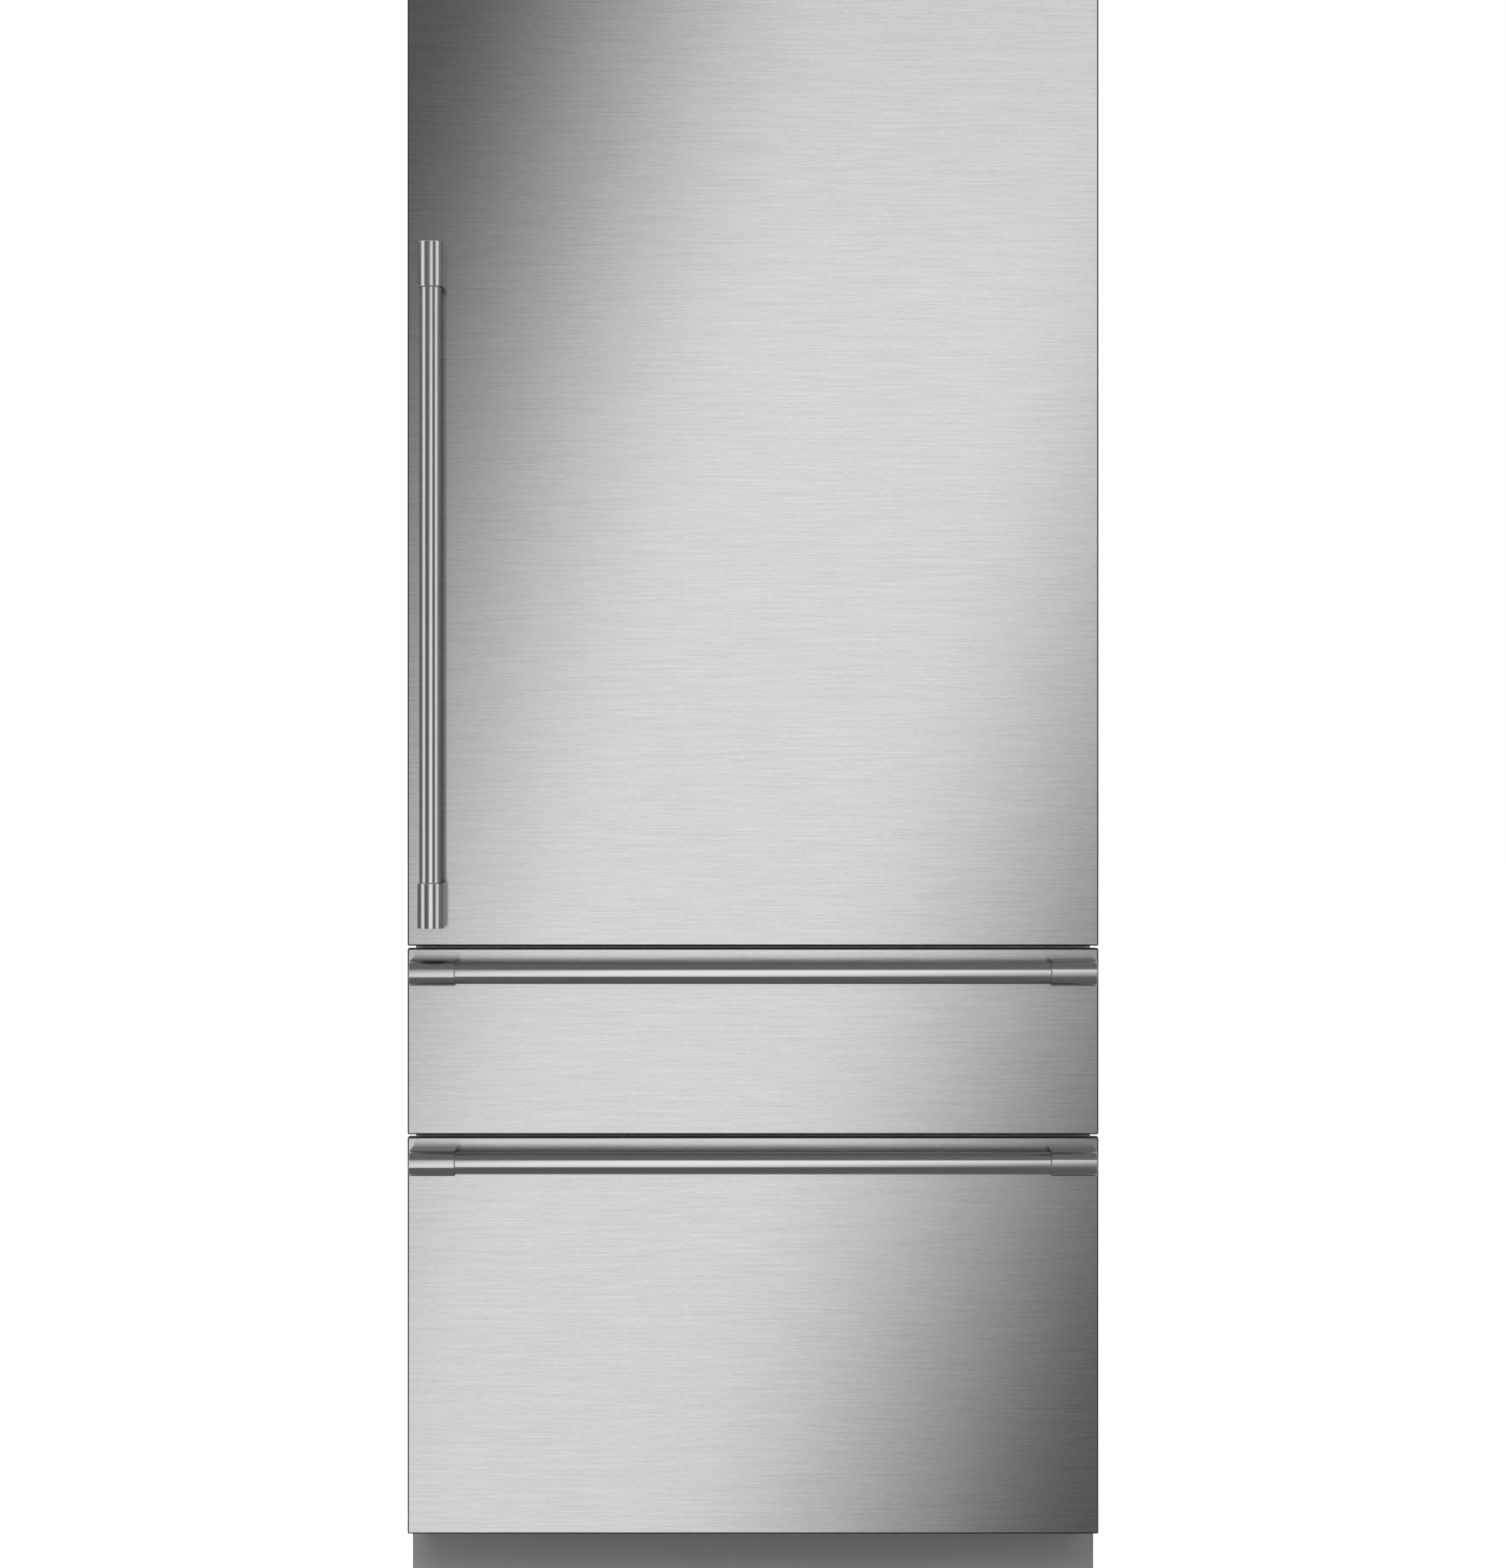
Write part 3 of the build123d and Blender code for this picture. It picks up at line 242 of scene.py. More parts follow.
# %% Light the world by the kind of ray
strip_ground = 0.127
bay_depth = 0.32
two_meetings = 1.5
three_meetings = 2.5
second_look = 0.32
second_least = 0.17
third_look = 0.35
ambient_light = 0.62
ambient_lean = 0.30

steel_sees = dimmed(sky, dimmed(sky, 1.0, bays, 1 - bay_depth), strips, strip_ground)

ray = add(sky, "ShaderNodeLightPath").outputs
twice = math_node(sky, "GREATER_THAN", ray["Glossy Depth"], two_meetings)
three_times = math_node(sky, "GREATER_THAN", ray["Glossy Depth"], three_meetings)
seen_again = math_node(sky, "MAXIMUM", math_node(sky, "MULTIPLY", steel_sees, second_look), second_least)
seen_again = dimmed(sky, seen_again, three_times, third_look)
seen_first = dimmed(sky, steel_sees, twice, 0.0)
steel_sees = math_node(sky, "ADD", seen_first, math_node(sky, "MULTIPLY", twice, seen_again))

glossy = ray["Is Glossy Ray"]
straight = math_node(sky, "MAXIMUM", ray["Is Camera Ray"], ray["Is Transmission Ray"])
shown = math_node(sky, "MAXIMUM", math_node(sky, "MULTIPLY", steel_sees, glossy), straight)
neither = math_node(sky, "SUBTRACT", 1.0, math_node(sky, "MAXIMUM", straight, glossy))
ambient = math_node(sky, "MULTIPLY_ADD", right, -ambient_light * ambient_lean, ambient_light)
strength = math_node(sky, "ADD", math_node(sky, "MULTIPLY", neither, ambient), shown)

background = add(sky, "ShaderNodeBackground")
background.inputs["Color"].default_value = grey(1)
feed(sky, background.inputs["Strength"], strength)
sky.links.new(background.outputs[0], add(sky, "ShaderNodeOutputWorld").inputs["Surface"])
print("studio world with", len(sky.nodes), "nodes")

# %% [markdown]
# The flat fronts are brightest along a slanted band, and darken towards their upper left and their
# lower right. The world can't give that, because a flat front sees almost one direction of it. So
# two dark scrims hung close in front, about a metre and a half away. One large sheet stands for both,
# and only glossy rays meet it.

# %% Hang the scrim in front
scrim_distance = 1.4
scrim_half_width = 1.6
scrim_top = 3.4
scrim_bottom = -1.0


def turn(shape, verts, degrees, axis):
    """Turns vertices round an axis through the origin."""
    rotation = Matrix.Rotation(math.radians(degrees), 3, axis)
    bmesh.ops.rotate(shape, cent=(0, 0, 0), matrix=rotation, verts=verts)


def as_mesh(shape, name):
    """Writes a finished bmesh into a new mesh."""
    mesh = bpy.data.meshes.new(name)
    shape.to_mesh(mesh)
    shape.free()
    return mesh


panel_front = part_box("door_panel")[0].y
shape = bmesh.new()
cloth = bmesh.ops.create_grid(shape, x_segments=1, y_segments=1, size=1.0)["verts"]
bmesh.ops.scale(shape, vec=(scrim_half_width, (scrim_top - scrim_bottom) / 2, 1), verts=cloth)
turn(shape, cloth, 90, "X")
scrim_place = (0, panel_front - scrim_distance, (scrim_top + scrim_bottom) / 2)
bmesh.ops.translate(shape, vec=scrim_place, verts=cloth)
scrim = into_scene("scrim", as_mesh(shape, "scrim"))
scrim.visible_camera = False
scrim.visible_diffuse = False
scrim.visible_transmission = False
scrim.visible_shadow = False
print("the scrim hangs", scrim_distance, "m in front")

# %% [markdown]
# The sheet is clear in a slanted band, darkens softly on each side of it and clears again further
# out. Near the top it is a little darker. Each slanted edge has a slope, the place where it is dark
# and the place where it is clear, in metres from the middle.

# %% Dye the scrim
scrim_grey = 0.105
scrim_middle = 1.171
scrim_left = (0.285, -0.905, -0.155)
scrim_right = (0.31, 1.0, 0.195)
scrim_end = (0.66, 0.80)
beam_edges = (1.7, 2.5)
beam_shade = 0.13


def empty_material(name):
    """A material with an empty graph. Gives the material and its tree."""
    material = bpy.data.materials.new(name)
    material.use_nodes = True
    material.node_tree.nodes.clear()
    return material, material.node_tree


def to_surface(tree, shader):
    """Links a shader to the material's output."""
    tree.links.new(shader, add(tree, "ShaderNodeOutputMaterial").inputs["Surface"])


def clear_beside(tree, point, slope, dark, bright):
    """How clear the cloth is beside one slanted edge."""
    height = math_node(tree, "SUBTRACT", point["Z"], scrim_middle)
    leaned = math_node(tree, "SUBTRACT", point["X"], math_node(tree, "MULTIPLY", height, slope))
    return soft_step(tree, leaned, dark, bright)


scrim_cloth, tree = empty_material("scrim_cloth")
point = axes_of(tree, add(tree, "ShaderNodeTexCoord").outputs["Object"])
left_edge = clear_beside(tree, point, *scrim_left)
right_edge = clear_beside(tree, point, *scrim_right)
beam = math_node(tree, "MULTIPLY", soft_step(tree, point["Z"], *beam_edges), beam_shade)
band = dimmed(tree, math_node(tree, "MULTIPLY", left_edge, right_edge), beam, 0.0)
beyond = soft_step(tree, math_node(tree, "ABSOLUTE", point["X"]), *scrim_end)

dark_cloth = add(tree, "ShaderNodeEmission")
dark_cloth.inputs["Strength"].default_value = scrim_grey
blend = add(tree, "ShaderNodeMixShader")
feed(tree, blend.inputs["Fac"], math_node(tree, "MAXIMUM", band, beyond))
tree.links.new(dark_cloth.outputs[0], blend.inputs[1])
tree.links.new(add(tree, "ShaderNodeBsdfTransparent").outputs[0], blend.inputs[2])
to_surface(tree, blend.outputs[0])
scrim_cloth.cycles.emission_sampling = "NONE"
scrim.data.materials.append(scrim_cloth)
print("scrim cloth with", len(tree.nodes), "nodes")

# %% [markdown]
# ## Lamps and floor
#
# Two large soft lamps in front and one behind give the painted and moulded parts their shape. They
# are hidden from glossy rays, because the world already gives the steel what it reflects.

# %% Hang the lamps
lamp_size = 2.4
lamp_target = Vector((0, 0, 1.0))


def soft_lamp(name, place, power):
    """A big square lamp that points at the middle of the object."""
    data = bpy.data.lights.new(name, "AREA")
    data.shape = "SQUARE"
    data.size = lamp_size
    data.energy = power
    lamp = into_scene(name, data)
    lamp.location = place
    lamp.rotation_euler = (lamp_target - Vector(place)).to_track_quat("-Z", "Y").to_euler()
    lamp.visible_glossy = False


soft_lamp("key_lamp", (-1.5, -4.4, 3.9), power=140)
soft_lamp("fill_lamp", (2.6, -4.0, 2.4), power=28)
soft_lamp("back_lamp", (1.0, 4.2, 3.4), power=70)
print(len(bpy.data.lights), "lamps hung")

# %% [markdown]
# The floor is a plain pale sheet. A glow that only the camera sees makes it white, so that the
# shadow under the object is all that is left to see of it, and no light is added to the object.

# %% Lay the floor
floor_half = 30
floor_grey = 0.86
floor_glow = 0.6

shape = bmesh.new()
bmesh.ops.create_grid(shape, x_segments=1, y_segments=1, size=floor_half)
floor = into_scene("floor", as_mesh(shape, "floor"))
floor.visible_glossy = False

floor_paint, tree = empty_material("floor_paint")
diffuse = add(tree, "ShaderNodeBsdfDiffuse")
diffuse.inputs["Color"].default_value = grey(floor_grey)
camera_ray = add(tree, "ShaderNodeLightPath").outputs["Is Camera Ray"]
glow = add(tree, "ShaderNodeEmission")
feed(tree, glow.inputs["Strength"], math_node(tree, "MULTIPLY", camera_ray, floor_glow))
both = add(tree, "ShaderNodeAddShader")
tree.links.new(diffuse.outputs[0], both.inputs[0])
tree.links.new(glow.outputs[0], both.inputs[1])
to_surface(tree, both.outputs[0])
floor.data.materials.append(floor_paint)
print("floor laid")

# %% [markdown]
# ## Shared surface effects
#
# Three effects come back in many finishes, so each is one node group with its own inputs. Brushed
# grain is noise drawn out along one axis, like the scratches that an abrasive belt leaves. Cloudiness
# is slow noise that keeps a large surface from looking like a flat colour. Moulded grain is the fine
# orange peel of painted and moulded parts.

# %% Start a node group


def new_group(name, inputs, outputs):
    """A shader node group with named number, vector and colour sockets."""
    kinds = {"number": "NodeSocketFloat", "vector": "NodeSocketVector", "colour": "NodeSocketColor"}
    group = bpy.data.node_groups.new(name, "ShaderNodeTree")
    for socket, (kind, value) in inputs.items():
        made = group.interface.new_socket(socket, in_out="INPUT", socket_type=kinds[kind])
        if kind != "vector":
            made.default_value = value
    for socket, kind in outputs.items():
        group.interface.new_socket(socket, in_out="OUTPUT", socket_type=kinds[kind])
    start = add(group, "NodeGroupInput")
    end = add(group, "NodeGroupOutput")
    return group, start.outputs, end.inputs


def stretched(tree, vector, scale):
    """Scales a vector, so that a pattern on it is drawn out along some axes."""
    node = add(tree, "ShaderNodeVectorMath", operation="MULTIPLY")
    feed(tree, node.inputs[0], vector)
    node.inputs[1].default_value = scale
    return node.outputs["Vector"]


def noise(tree, vector, scale, detail):
    """Plain fractal noise, from 0 to 1."""
    node = add(tree, "ShaderNodeTexNoise")
    feed(tree, node.inputs["Vector"], vector)
    feed(tree, node.inputs["Scale"], scale)
    node.inputs["Detail"].default_value = detail
    return node.outputs["Fac"]


def shaded(tree, colour, pattern, contrast):
    """Makes a colour lighter and darker by a pattern that is centred on 0."""
    gain = math_node(tree, "MULTIPLY_ADD", pattern, contrast, 1.0)
    node = add(tree, "ShaderNodeVectorMath", operation="SCALE")
    feed(tree, node.inputs[0], colour)
    feed(tree, node.inputs["Scale"], gain)
    return node.outputs["Vector"]


print("group helpers ready")

# %% Brushed grain, drawn out along the X axis
coarse_stretch = (16, 60, 780)
fine_stretch = (110, 300, 1100)
coarse_share = 0.55

brushed, start, end = new_group(
    "brushed grain",
    {"Place": ("vector", None), "Colour": ("colour", grey(0.66)), "Contrast": ("number", 0.06)},
    {"Colour": "colour", "Shade": "number"},
)
coarse = noise(brushed, stretched(brushed, start["Place"], coarse_stretch), scale=1.0, detail=3.0)
fine = noise(brushed, stretched(brushed, start["Place"], fine_stretch), scale=1.0, detail=2.0)
coarse = math_node(brushed, "MULTIPLY", coarse, coarse_share)
fine = math_node(brushed, "MULTIPLY", fine, 1 - coarse_share)
mixed = math_node(brushed, "ADD", coarse, fine)
centred = math_node(brushed, "SUBTRACT", mixed, 0.5)
feed(brushed, end["Colour"], shaded(brushed, start["Colour"], centred, start["Contrast"]))
feed(brushed, end["Shade"], mixed)
print("brushed grain group has", len(brushed.nodes), "nodes")

# %% Cloudiness, a slow drift of colour and gloss
cloudy, start, end = new_group(
    "cloudiness",
    {
        "Place": ("vector", None),
        "Colour": ("colour", grey(0.8)),
        "Size": ("number", 6.0),
        "Contrast": ("number", 0.08),
        "Roughness": ("number", 0.4),
    },
    {"Colour": "colour", "Roughness": "number"},
)
slow = noise(cloudy, start["Place"], start["Size"], detail=4.0)
centred = math_node(cloudy, "SUBTRACT", slow, 0.5)
drift = math_node(cloudy, "MULTIPLY", centred, start["Contrast"])
feed(cloudy, end["Colour"], shaded(cloudy, start["Colour"], centred, start["Contrast"]))
feed(cloudy, end["Roughness"], math_node(cloudy, "ADD", start["Roughness"], drift))
print("cloudiness group has", len(cloudy.nodes), "nodes")

# %% Moulded grain, a fine orange peel
peel, start, end = new_group(
    "moulded grain",
    {"Place": ("vector", None), "Size": ("number", 900.0)},
    {"Height": "number"},
)
feed(peel, end["Height"], noise(peel, start["Place"], start["Size"], detail=2.0))
print("moulded grain group has", len(peel.nodes), "nodes")

# %% [markdown]
# ## Finishes
#
# Each finish is a Principled shader fed by the groups above. One helper makes the shader, and the
# others lay clouds on it or add a grain as a bump. Values that are the same all over a surface are
# set on the shader's own sockets.

# %% Start a finish


def new_finish(name, roughness, metallic=0.0):
    """A material with one Principled shader. Gives the material, its tree, shader and place."""
    material, tree = empty_material(name)
    shader = add(tree, "ShaderNodeBsdfPrincipled")
    shader.inputs["Roughness"].default_value = roughness
    shader.inputs["Metallic"].default_value = metallic
    to_surface(tree, shader.outputs["BSDF"])
    place = add(tree, "ShaderNodeTexCoord").outputs["Object"]
    return material, tree, shader, place


def use_group(tree, group, **values):
    """Places a node group with its own values. Gives its outputs."""
    node = add(tree, "ShaderNodeGroup", node_tree=group)
    for name, value in values.items():
        feed(tree, node.inputs[name], value)
    return node.outputs


def lay_clouds(tree, shader, place, colour, size, contrast, roughness):
    """Slow clouds in the colour and the roughness."""
    clouds = use_group(
        tree, cloudy, Place=place, Colour=(*colour, 1), Size=size, Contrast=contrast, Roughness=roughness
    )
    feed(tree, shader.inputs["Base Color"], clouds["Colour"])
    feed(tree, shader.inputs["Roughness"], clouds["Roughness"])


def add_bump(tree, shader, height, strength, distance):
    """Turns a height into small changes of the surface's normal."""
    bump = add(tree, "ShaderNodeBump")
    bump.inputs["Strength"].default_value = strength
    bump.inputs["Distance"].default_value = distance
    feed(tree, bump.inputs["Height"], height)
    tree.links.new(bump.outputs["Normal"], shader.inputs["Normal"])


finishes = {}
print("finish helpers ready")

# %% [markdown]
# Stainless steel is brushed along the width of each front. The grain spreads reflections up and down,
# across the scratches, which an anisotropic shader does: its tangent runs round the vertical axis, so along
# the width on a front, and a quarter turn sets the spread across it. The folds round a front and the seams
# in the handles are darker in the photograph, so each gets a copy of the steel whose colour is darkened
# with painted shade.

# %% Brushed stainless steel for the fronts
grain_gloss = 0.08
grain_bump = 0.03
grain_height = 0.4 * MM
quarter_turn = 0.25


def lay_grain(tree, shader, place, shade, contrast, roughness, gloss, turned=(0, 0, 0)):
    """Grain in the colour and the roughness, along X or turned. Gives the grain's own shade."""
    mapping = add(tree, "ShaderNodeMapping")
    feed(tree, mapping.inputs["Vector"], place)
    mapping.inputs["Rotation"].default_value = turned
    grain = use_group(tree, brushed, Place=mapping.outputs["Vector"], Colour=grey(shade), Contrast=contrast)
    feed(tree, shader.inputs["Base Color"], grain["Colour"])
    rough = math_node(tree, "MULTIPLY_ADD", grain["Shade"], gloss, roughness - gloss / 2)
    feed(tree, shader.inputs["Roughness"], rough)
    return grain["Shade"]


def brushed_steel(name, shade, roughness, spread, contrast):
    """Steel with drawn-out grain that spreads what it reflects up and down."""
    material, tree, shader, place = new_finish(name, roughness, metallic=1.0)
    height = lay_grain(tree, shader, place, shade, contrast, roughness, grain_gloss)
    add_bump(tree, shader, height, grain_bump, grain_height)
    shader.inputs["Anisotropic"].default_value = spread
    shader.inputs["Anisotropic Rotation"].default_value = quarter_turn
    tangent = add(tree, "ShaderNodeTangent", direction_type="RADIAL", axis="Z")
    tree.links.new(tangent.outputs["Tangent"], shader.inputs["Tangent"])
    return material


finishes["stainless"] = brushed_steel("stainless", shade=0.68, roughness=0.155, spread=0.8, contrast=0.64)
# The folds and the seams are copies of the steel with painted shade: their colour is darker where shade
# would fall.
finishes["fold_painted_shade"] = brushed_steel("fold_painted_shade", shade=0.05, roughness=0.30, spread=0.2, contrast=0.6)
finishes["seam"] = brushed_steel("seam_shadow", shade=0.50, roughness=0.50, spread=0.0, contrast=0.3)
print("stainless steel ready")

# %% [markdown]
# The bars and their ends are ground and polished further than the sheets, so their stripes are
# sharper and a little brighter. The grain of a bar runs along it, which for the door's bar is upright.

# %% Polished steel for the handles
polish_shade = 0.79
polish_contrast = 0.05
polish_roughness = 0.18
polish_gloss = 0.05


def polished_steel(name, turned):
    """Steel with a fine grain along one axis and a smoother shine."""
    material, tree, shader, place = new_finish(name, polish_roughness, metallic=1.0)
    lay_grain(tree, shader, place, polish_shade, polish_contrast, polish_roughness, polish_gloss, turned)
    return material


finishes["stainless_bar"] = polished_steel("bar_steel", (0, 0, 0))
finishes["upright_bar"] = polished_steel("upright_bar_steel", (0, math.radians(90), 0))
print("handle steel ready")

# %% [markdown]
# Painted and galvanised sheet makes the case. Paint is a dielectric with a soft shine and a faint
# orange peel. Zinc is a metal with large pale flowers, the spangle, which a Voronoi pattern gives:
# each of its cells has a shade and a gloss of its own.

# %% Painted steel, zinc and compressor paint
cloud_size = 5.0
peel_bump = 0.35
spangle_size = 55
spangle_shade = (0.10, 0.50)
spangle_gloss = (0.14, 0.36)


def painted(name, colour, roughness, contrast=0.10, peel_size=900.0, peel_height=0.06 * MM):
    """Paint or moulded plastic: cloudy colour and a fine peel."""
    material, tree, shader, place = new_finish(name, roughness)
    lay_clouds(tree, shader, place, colour, cloud_size, contrast, roughness)
    height = use_group(tree, peel, Place=place, Size=peel_size)["Height"]
    add_bump(tree, shader, height, peel_bump, peel_height)
    return material


def zinc(name):
    """Galvanised sheet with its spangle."""
    material, tree, shader, place = new_finish(name, roughness=0.42, metallic=1.0)
    flowers = add(tree, "ShaderNodeTexVoronoi")
    feed(tree, flowers.inputs["Vector"], place)
    flowers.inputs["Scale"].default_value = spangle_size
    flower = axes_of(tree, flowers.outputs["Color"])
    shade = math_node(tree, "MULTIPLY_ADD", flower["X"], *spangle_shade)
    tint = add(tree, "ShaderNodeCombineXYZ")
    for axis in range(3):
        feed(tree, tint.inputs[axis], shade)
    feed(tree, shader.inputs["Base Color"], tint.outputs[0])
    feed(tree, shader.inputs["Roughness"], math_node(tree, "MULTIPLY_ADD", flower["Y"], *spangle_gloss))
    return material


finishes["painted_steel"] = painted("painted_steel", (0.105, 0.106, 0.110), roughness=0.42)
finishes["toe_paint"] = painted("toe_paint", (0.225, 0.225, 0.227), roughness=0.48)
finishes["compressor_paint"] = painted("compressor_paint", (0.02, 0.02, 0.021), roughness=0.30)
finishes["zinc_steel"] = zinc("zinc_steel")
print("sheet finishes ready")

# %% [markdown]
# The liners and tubs are white plastic, the control bar and some machine parts black, the seals grey
# rubber, and the foam is pale yellow. They differ in colour, gloss and how coarse their peel is. The
# fins are thin aluminium, and the lights have milky covers that glow a little.

# %% Plastics, rubber, foam and fins
lens_glow = 0.55

finishes["white_plastic"] = painted("white_plastic", (0.80, 0.81, 0.82), 0.30, 0.03, peel_size=700.0)
finishes["black_plastic"] = painted("black_plastic", (0.03, 0.03, 0.032), 0.50, 0.12, peel_size=1200.0)
finishes["seal"] = painted("seal_rubber", (0.30, 0.30, 0.31), 0.62, 0.12, peel_size=1500.0)
finishes["foam"] = painted("blown_foam", (0.80, 0.72, 0.48), 0.85, 0.25, 260.0, peel_height=0.6 * MM)


def fin_metal():
    """Thin aluminium with a dull, uneven sheen."""
    material, tree, shader, place = new_finish("fin_aluminium", roughness=0.35, metallic=1.0)
    lay_clouds(tree, shader, place, (0.70, 0.71, 0.73), size=30.0, contrast=0.15, roughness=0.34)
    return material


def lens():
    """The milky cover of a light, which glows a little."""
    material, tree, shader, place = new_finish("lens", roughness=0.28)
    milk = use_group(tree, cloudy, Place=place, Colour=(0.93, 0.94, 0.92, 1), Size=20.0, Contrast=0.04)
    feed(tree, shader.inputs["Base Color"], milk["Colour"])
    feed(tree, shader.inputs["Emission Color"], milk["Colour"])
    shader.inputs["Emission Strength"].default_value = lens_glow
    return material


finishes["fins"] = fin_metal()
finishes["lens"] = lens()
print("moulded finishes ready")

# %% [markdown]
# The crispers and bins are clear plastic, and the shelves are toughened glass. Both let light
# through, so they keep a plain transmission and a roughness of their own. A lamp's light bends inside
# them, which a renderer follows badly, so the shadows that they throw are made faint instead.

# %% Clear plastic and shelf glass
clear_share = 0.92
shadow_lost = 0.85


def clear(name, colour, roughness, ior):
    """A see-through finish with a faint tint and a faint shadow."""
    material, tree, shader, place = new_finish(name, roughness)
    lay_clouds(tree, shader, place, colour, size=8.0, contrast=0.02, roughness=roughness)
    shadow_ray = add(tree, "ShaderNodeLightPath").outputs["Is Shadow Ray"]
    feed(tree, shader.inputs["Alpha"], math_node(tree, "MULTIPLY_ADD", shadow_ray, -shadow_lost, 1.0))
    shader.inputs["Transmission Weight"].default_value = clear_share
    shader.inputs["IOR"].default_value = ior
    return material


finishes["clear_plastic"] = clear("clear_plastic", (0.98, 0.99, 0.995), roughness=0.06, ior=1.40)
finishes["shelf_glass"] = clear("shelf_glass", (0.86, 0.95, 0.92), roughness=0.03, ior=1.52)
print(len(finishes), "finishes ready")

# %% [markdown]
# ## Finish the CAD parts
#
# Every CAD node first gets the finish of its slot.

# %% Put a finish on every CAD node


def paint(thing, finish):
    """Gives an object one finish."""
    thing.data.materials.clear()
    thing.data.materials.append(finishes[finish])


for node, thing in nodes.items():
    paint(thing, slot_of[node])
paint(nodes["toe_kick"], "toe_paint")
print("finished", len(nodes), "CAD nodes")

# %% [markdown]
# ## Modelling helpers
#
# A piece starts as a box, a circle or a grid, and operators shape it. The last helper turns the finished
# bmesh into an object, shades its small faces smooth up to its sharp edges, lets it ride on the body of the
# CAD node that it stands for, and gives it a finish.

# %% Start a piece
nearly_straight = 0.99


def add_box(shape, low, high):
    """Adds a box between two corners."""
    low = Vector(low)
    high = Vector(high)
    made = bmesh.ops.create_cube(shape, size=1.0)["verts"]
    bmesh.ops.scale(shape, vec=high - low, verts=made)
    bmesh.ops.translate(shape, vec=(low + high) / 2, verts=made)


def new_box(low, high):
    """A bmesh with one box in it."""
    shape = bmesh.new()
    add_box(shape, low, high)
    return shape


def facing(shape, axis, side):
    """The faces that look along one axis, to one side."""
    return [face for face in shape.faces if face.normal[axis] * side > nearly_straight]


def only_verts(geometry):
    """The vertices among what an operator gives back."""
    return [item for item in geometry if isinstance(item, bmesh.types.BMVert)]


def open_edges(geometry):
    """The edges that have a face on one side only."""
    return [item for item in geometry if isinstance(item, bmesh.types.BMEdge) and item.is_boundary]


print("modelling starts ready")

# %% Shape and finish a piece
broad_face = 0.0004
second_finish = 1


def round_off(shape, geometry, radius, steps, affect="EDGES", finish=-1):
    """Rounds edges or corners. The new faces take their neighbours' finish, or one by its number."""
    bmesh.ops.bevel(
        shape,
        geom=geometry,
        offset=radius,
        offset_type="OFFSET",
        segments=steps,
        profile=0.5,
        affect=affect,
        material=finish,
        clamp_overlap=True,
    )


def draw_out(shape, edges):
    """Extrudes open edges in place. Gives the new vertices and the new open edges."""
    drawn = bmesh.ops.extrude_edge_only(shape, edges=edges)["geom"]
    return only_verts(drawn), open_edges(drawn)


def as_piece(shape, name, node, finish, smooth_angle=35, second=None):
    """Makes the bmesh an object that stands for a CAD node."""
    bmesh.ops.recalc_face_normals(shape, faces=shape.faces[:])
    mesh = as_mesh(shape, name)
    mesh.set_sharp_from_angle(angle=math.radians(smooth_angle))
    for polygon in mesh.polygons:
        polygon.use_smooth = polygon.area < broad_face
    piece = into_scene(name, mesh)
    mesh.materials.append(finishes[finish])
    if second:
        mesh.materials.append(finishes[second])
    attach(piece, body_of[node])
    triangles = sum(len(polygon.vertices) - 2 for polygon in mesh.polygons)
    print(name, "has", triangles, "triangles")
    return piece


print("modelling helpers ready")

# %% [markdown]
# ## Fronts
#
# Each front is a tray folded from one sheet: a flat face, four sides and a lip that turns in behind.
# The fold along the face has a radius of about two millimetres, and that thin curve, in a copy of the steel
# darkened with painted shade, draws the dark outline round each front in the photograph. A solid slab would
# do while all is shut, but the lip shows from behind. So a box gets rounded front edges for the fold, and
# its back is inset by the lip and pushed in.

# %% Fold the three fronts
fold_radius = 1.9 * MM
fold_steps = 5
lip_width = 25 * MM
lip_depth = 14 * MM


def folded_front(node):
    """A tray with rounded folds and an inward lip at the back."""
    low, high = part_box(node)
    shape = new_box(low, high)
    front = facing(shape, 1, -1)[0]
    back = facing(shape, 1, 1)
    corners = [edge for edge in shape.edges if abs(edge.verts[0].co.y - edge.verts[1].co.y) > lip_depth]
    folds = list(front.edges) + corners
    bmesh.ops.inset_region(shape, faces=back, thickness=lip_width)
    pushed = bmesh.ops.extrude_face_region(shape, geom=back)["geom"]
    bmesh.ops.translate(shape, vec=(0, -lip_depth, 0), verts=only_verts(pushed))
    bmesh.ops.delete(shape, geom=back, context="FACES")
    # The folds take the second finish, the steel darkened with painted shade.
    round_off(shape, folds, fold_radius, fold_steps, finish=second_finish)
    piece = as_piece(shape, node + "_sheet", node, "stainless", second="fold_painted_shade")
    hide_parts(node)


for node in ("door_panel", "middle_panel", "freezer_panel"):
    folded_front(node)

# %% [markdown]
# Behind each narrow gap between two fronts stands a pale strip, so that the gap shows grey instead of
# a deep black slot. It stands on its drawer's front, low enough to pass under the front above it.

# %% Stand a strip behind each gap
strip_thickness = 2 * MM
strip_setback = 2 * MM
strip_clearance = 0.6 * MM
strip_round = 0.6 * MM

for drawer, above in (("middle", "door"), ("freezer", "middle")):
    front_low, front_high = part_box(drawer + "_front")
    back_of_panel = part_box(drawer + "_panel")[1].y
    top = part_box(above + "_panel")[0].z - strip_clearance
    low = (front_low.x, back_of_panel + strip_setback, front_high.z)
    high = (front_high.x, back_of_panel + strip_setback + strip_thickness, top)
    shape = new_box(low, high)
    round_off(shape, list(facing(shape, 2, 1)[0].edges), strip_round, steps=3)
    piece = as_piece(shape, drawer + "_gap_strip", drawer + "_front", "white_plastic")

# %% [markdown]
# ## Handles
#
# A handle is a round bar between two end blocks. It could be a curve with a round bevel, but its
# chamfers and grooves need rings of their own. So every shape here is a row of circles along X, each
# bridged to the next.

# %% Make rings and bridge them
round_steps = 96


def ring_of(shape, centre_x, radius):
    """A circle of vertices round the X axis."""
    made = bmesh.ops.create_circle(shape, segments=round_steps, radius=radius)["verts"]
    turn(shape, made, 90, "Y")
    bmesh.ops.translate(shape, vec=(centre_x, 0, 0), verts=made)
    return made


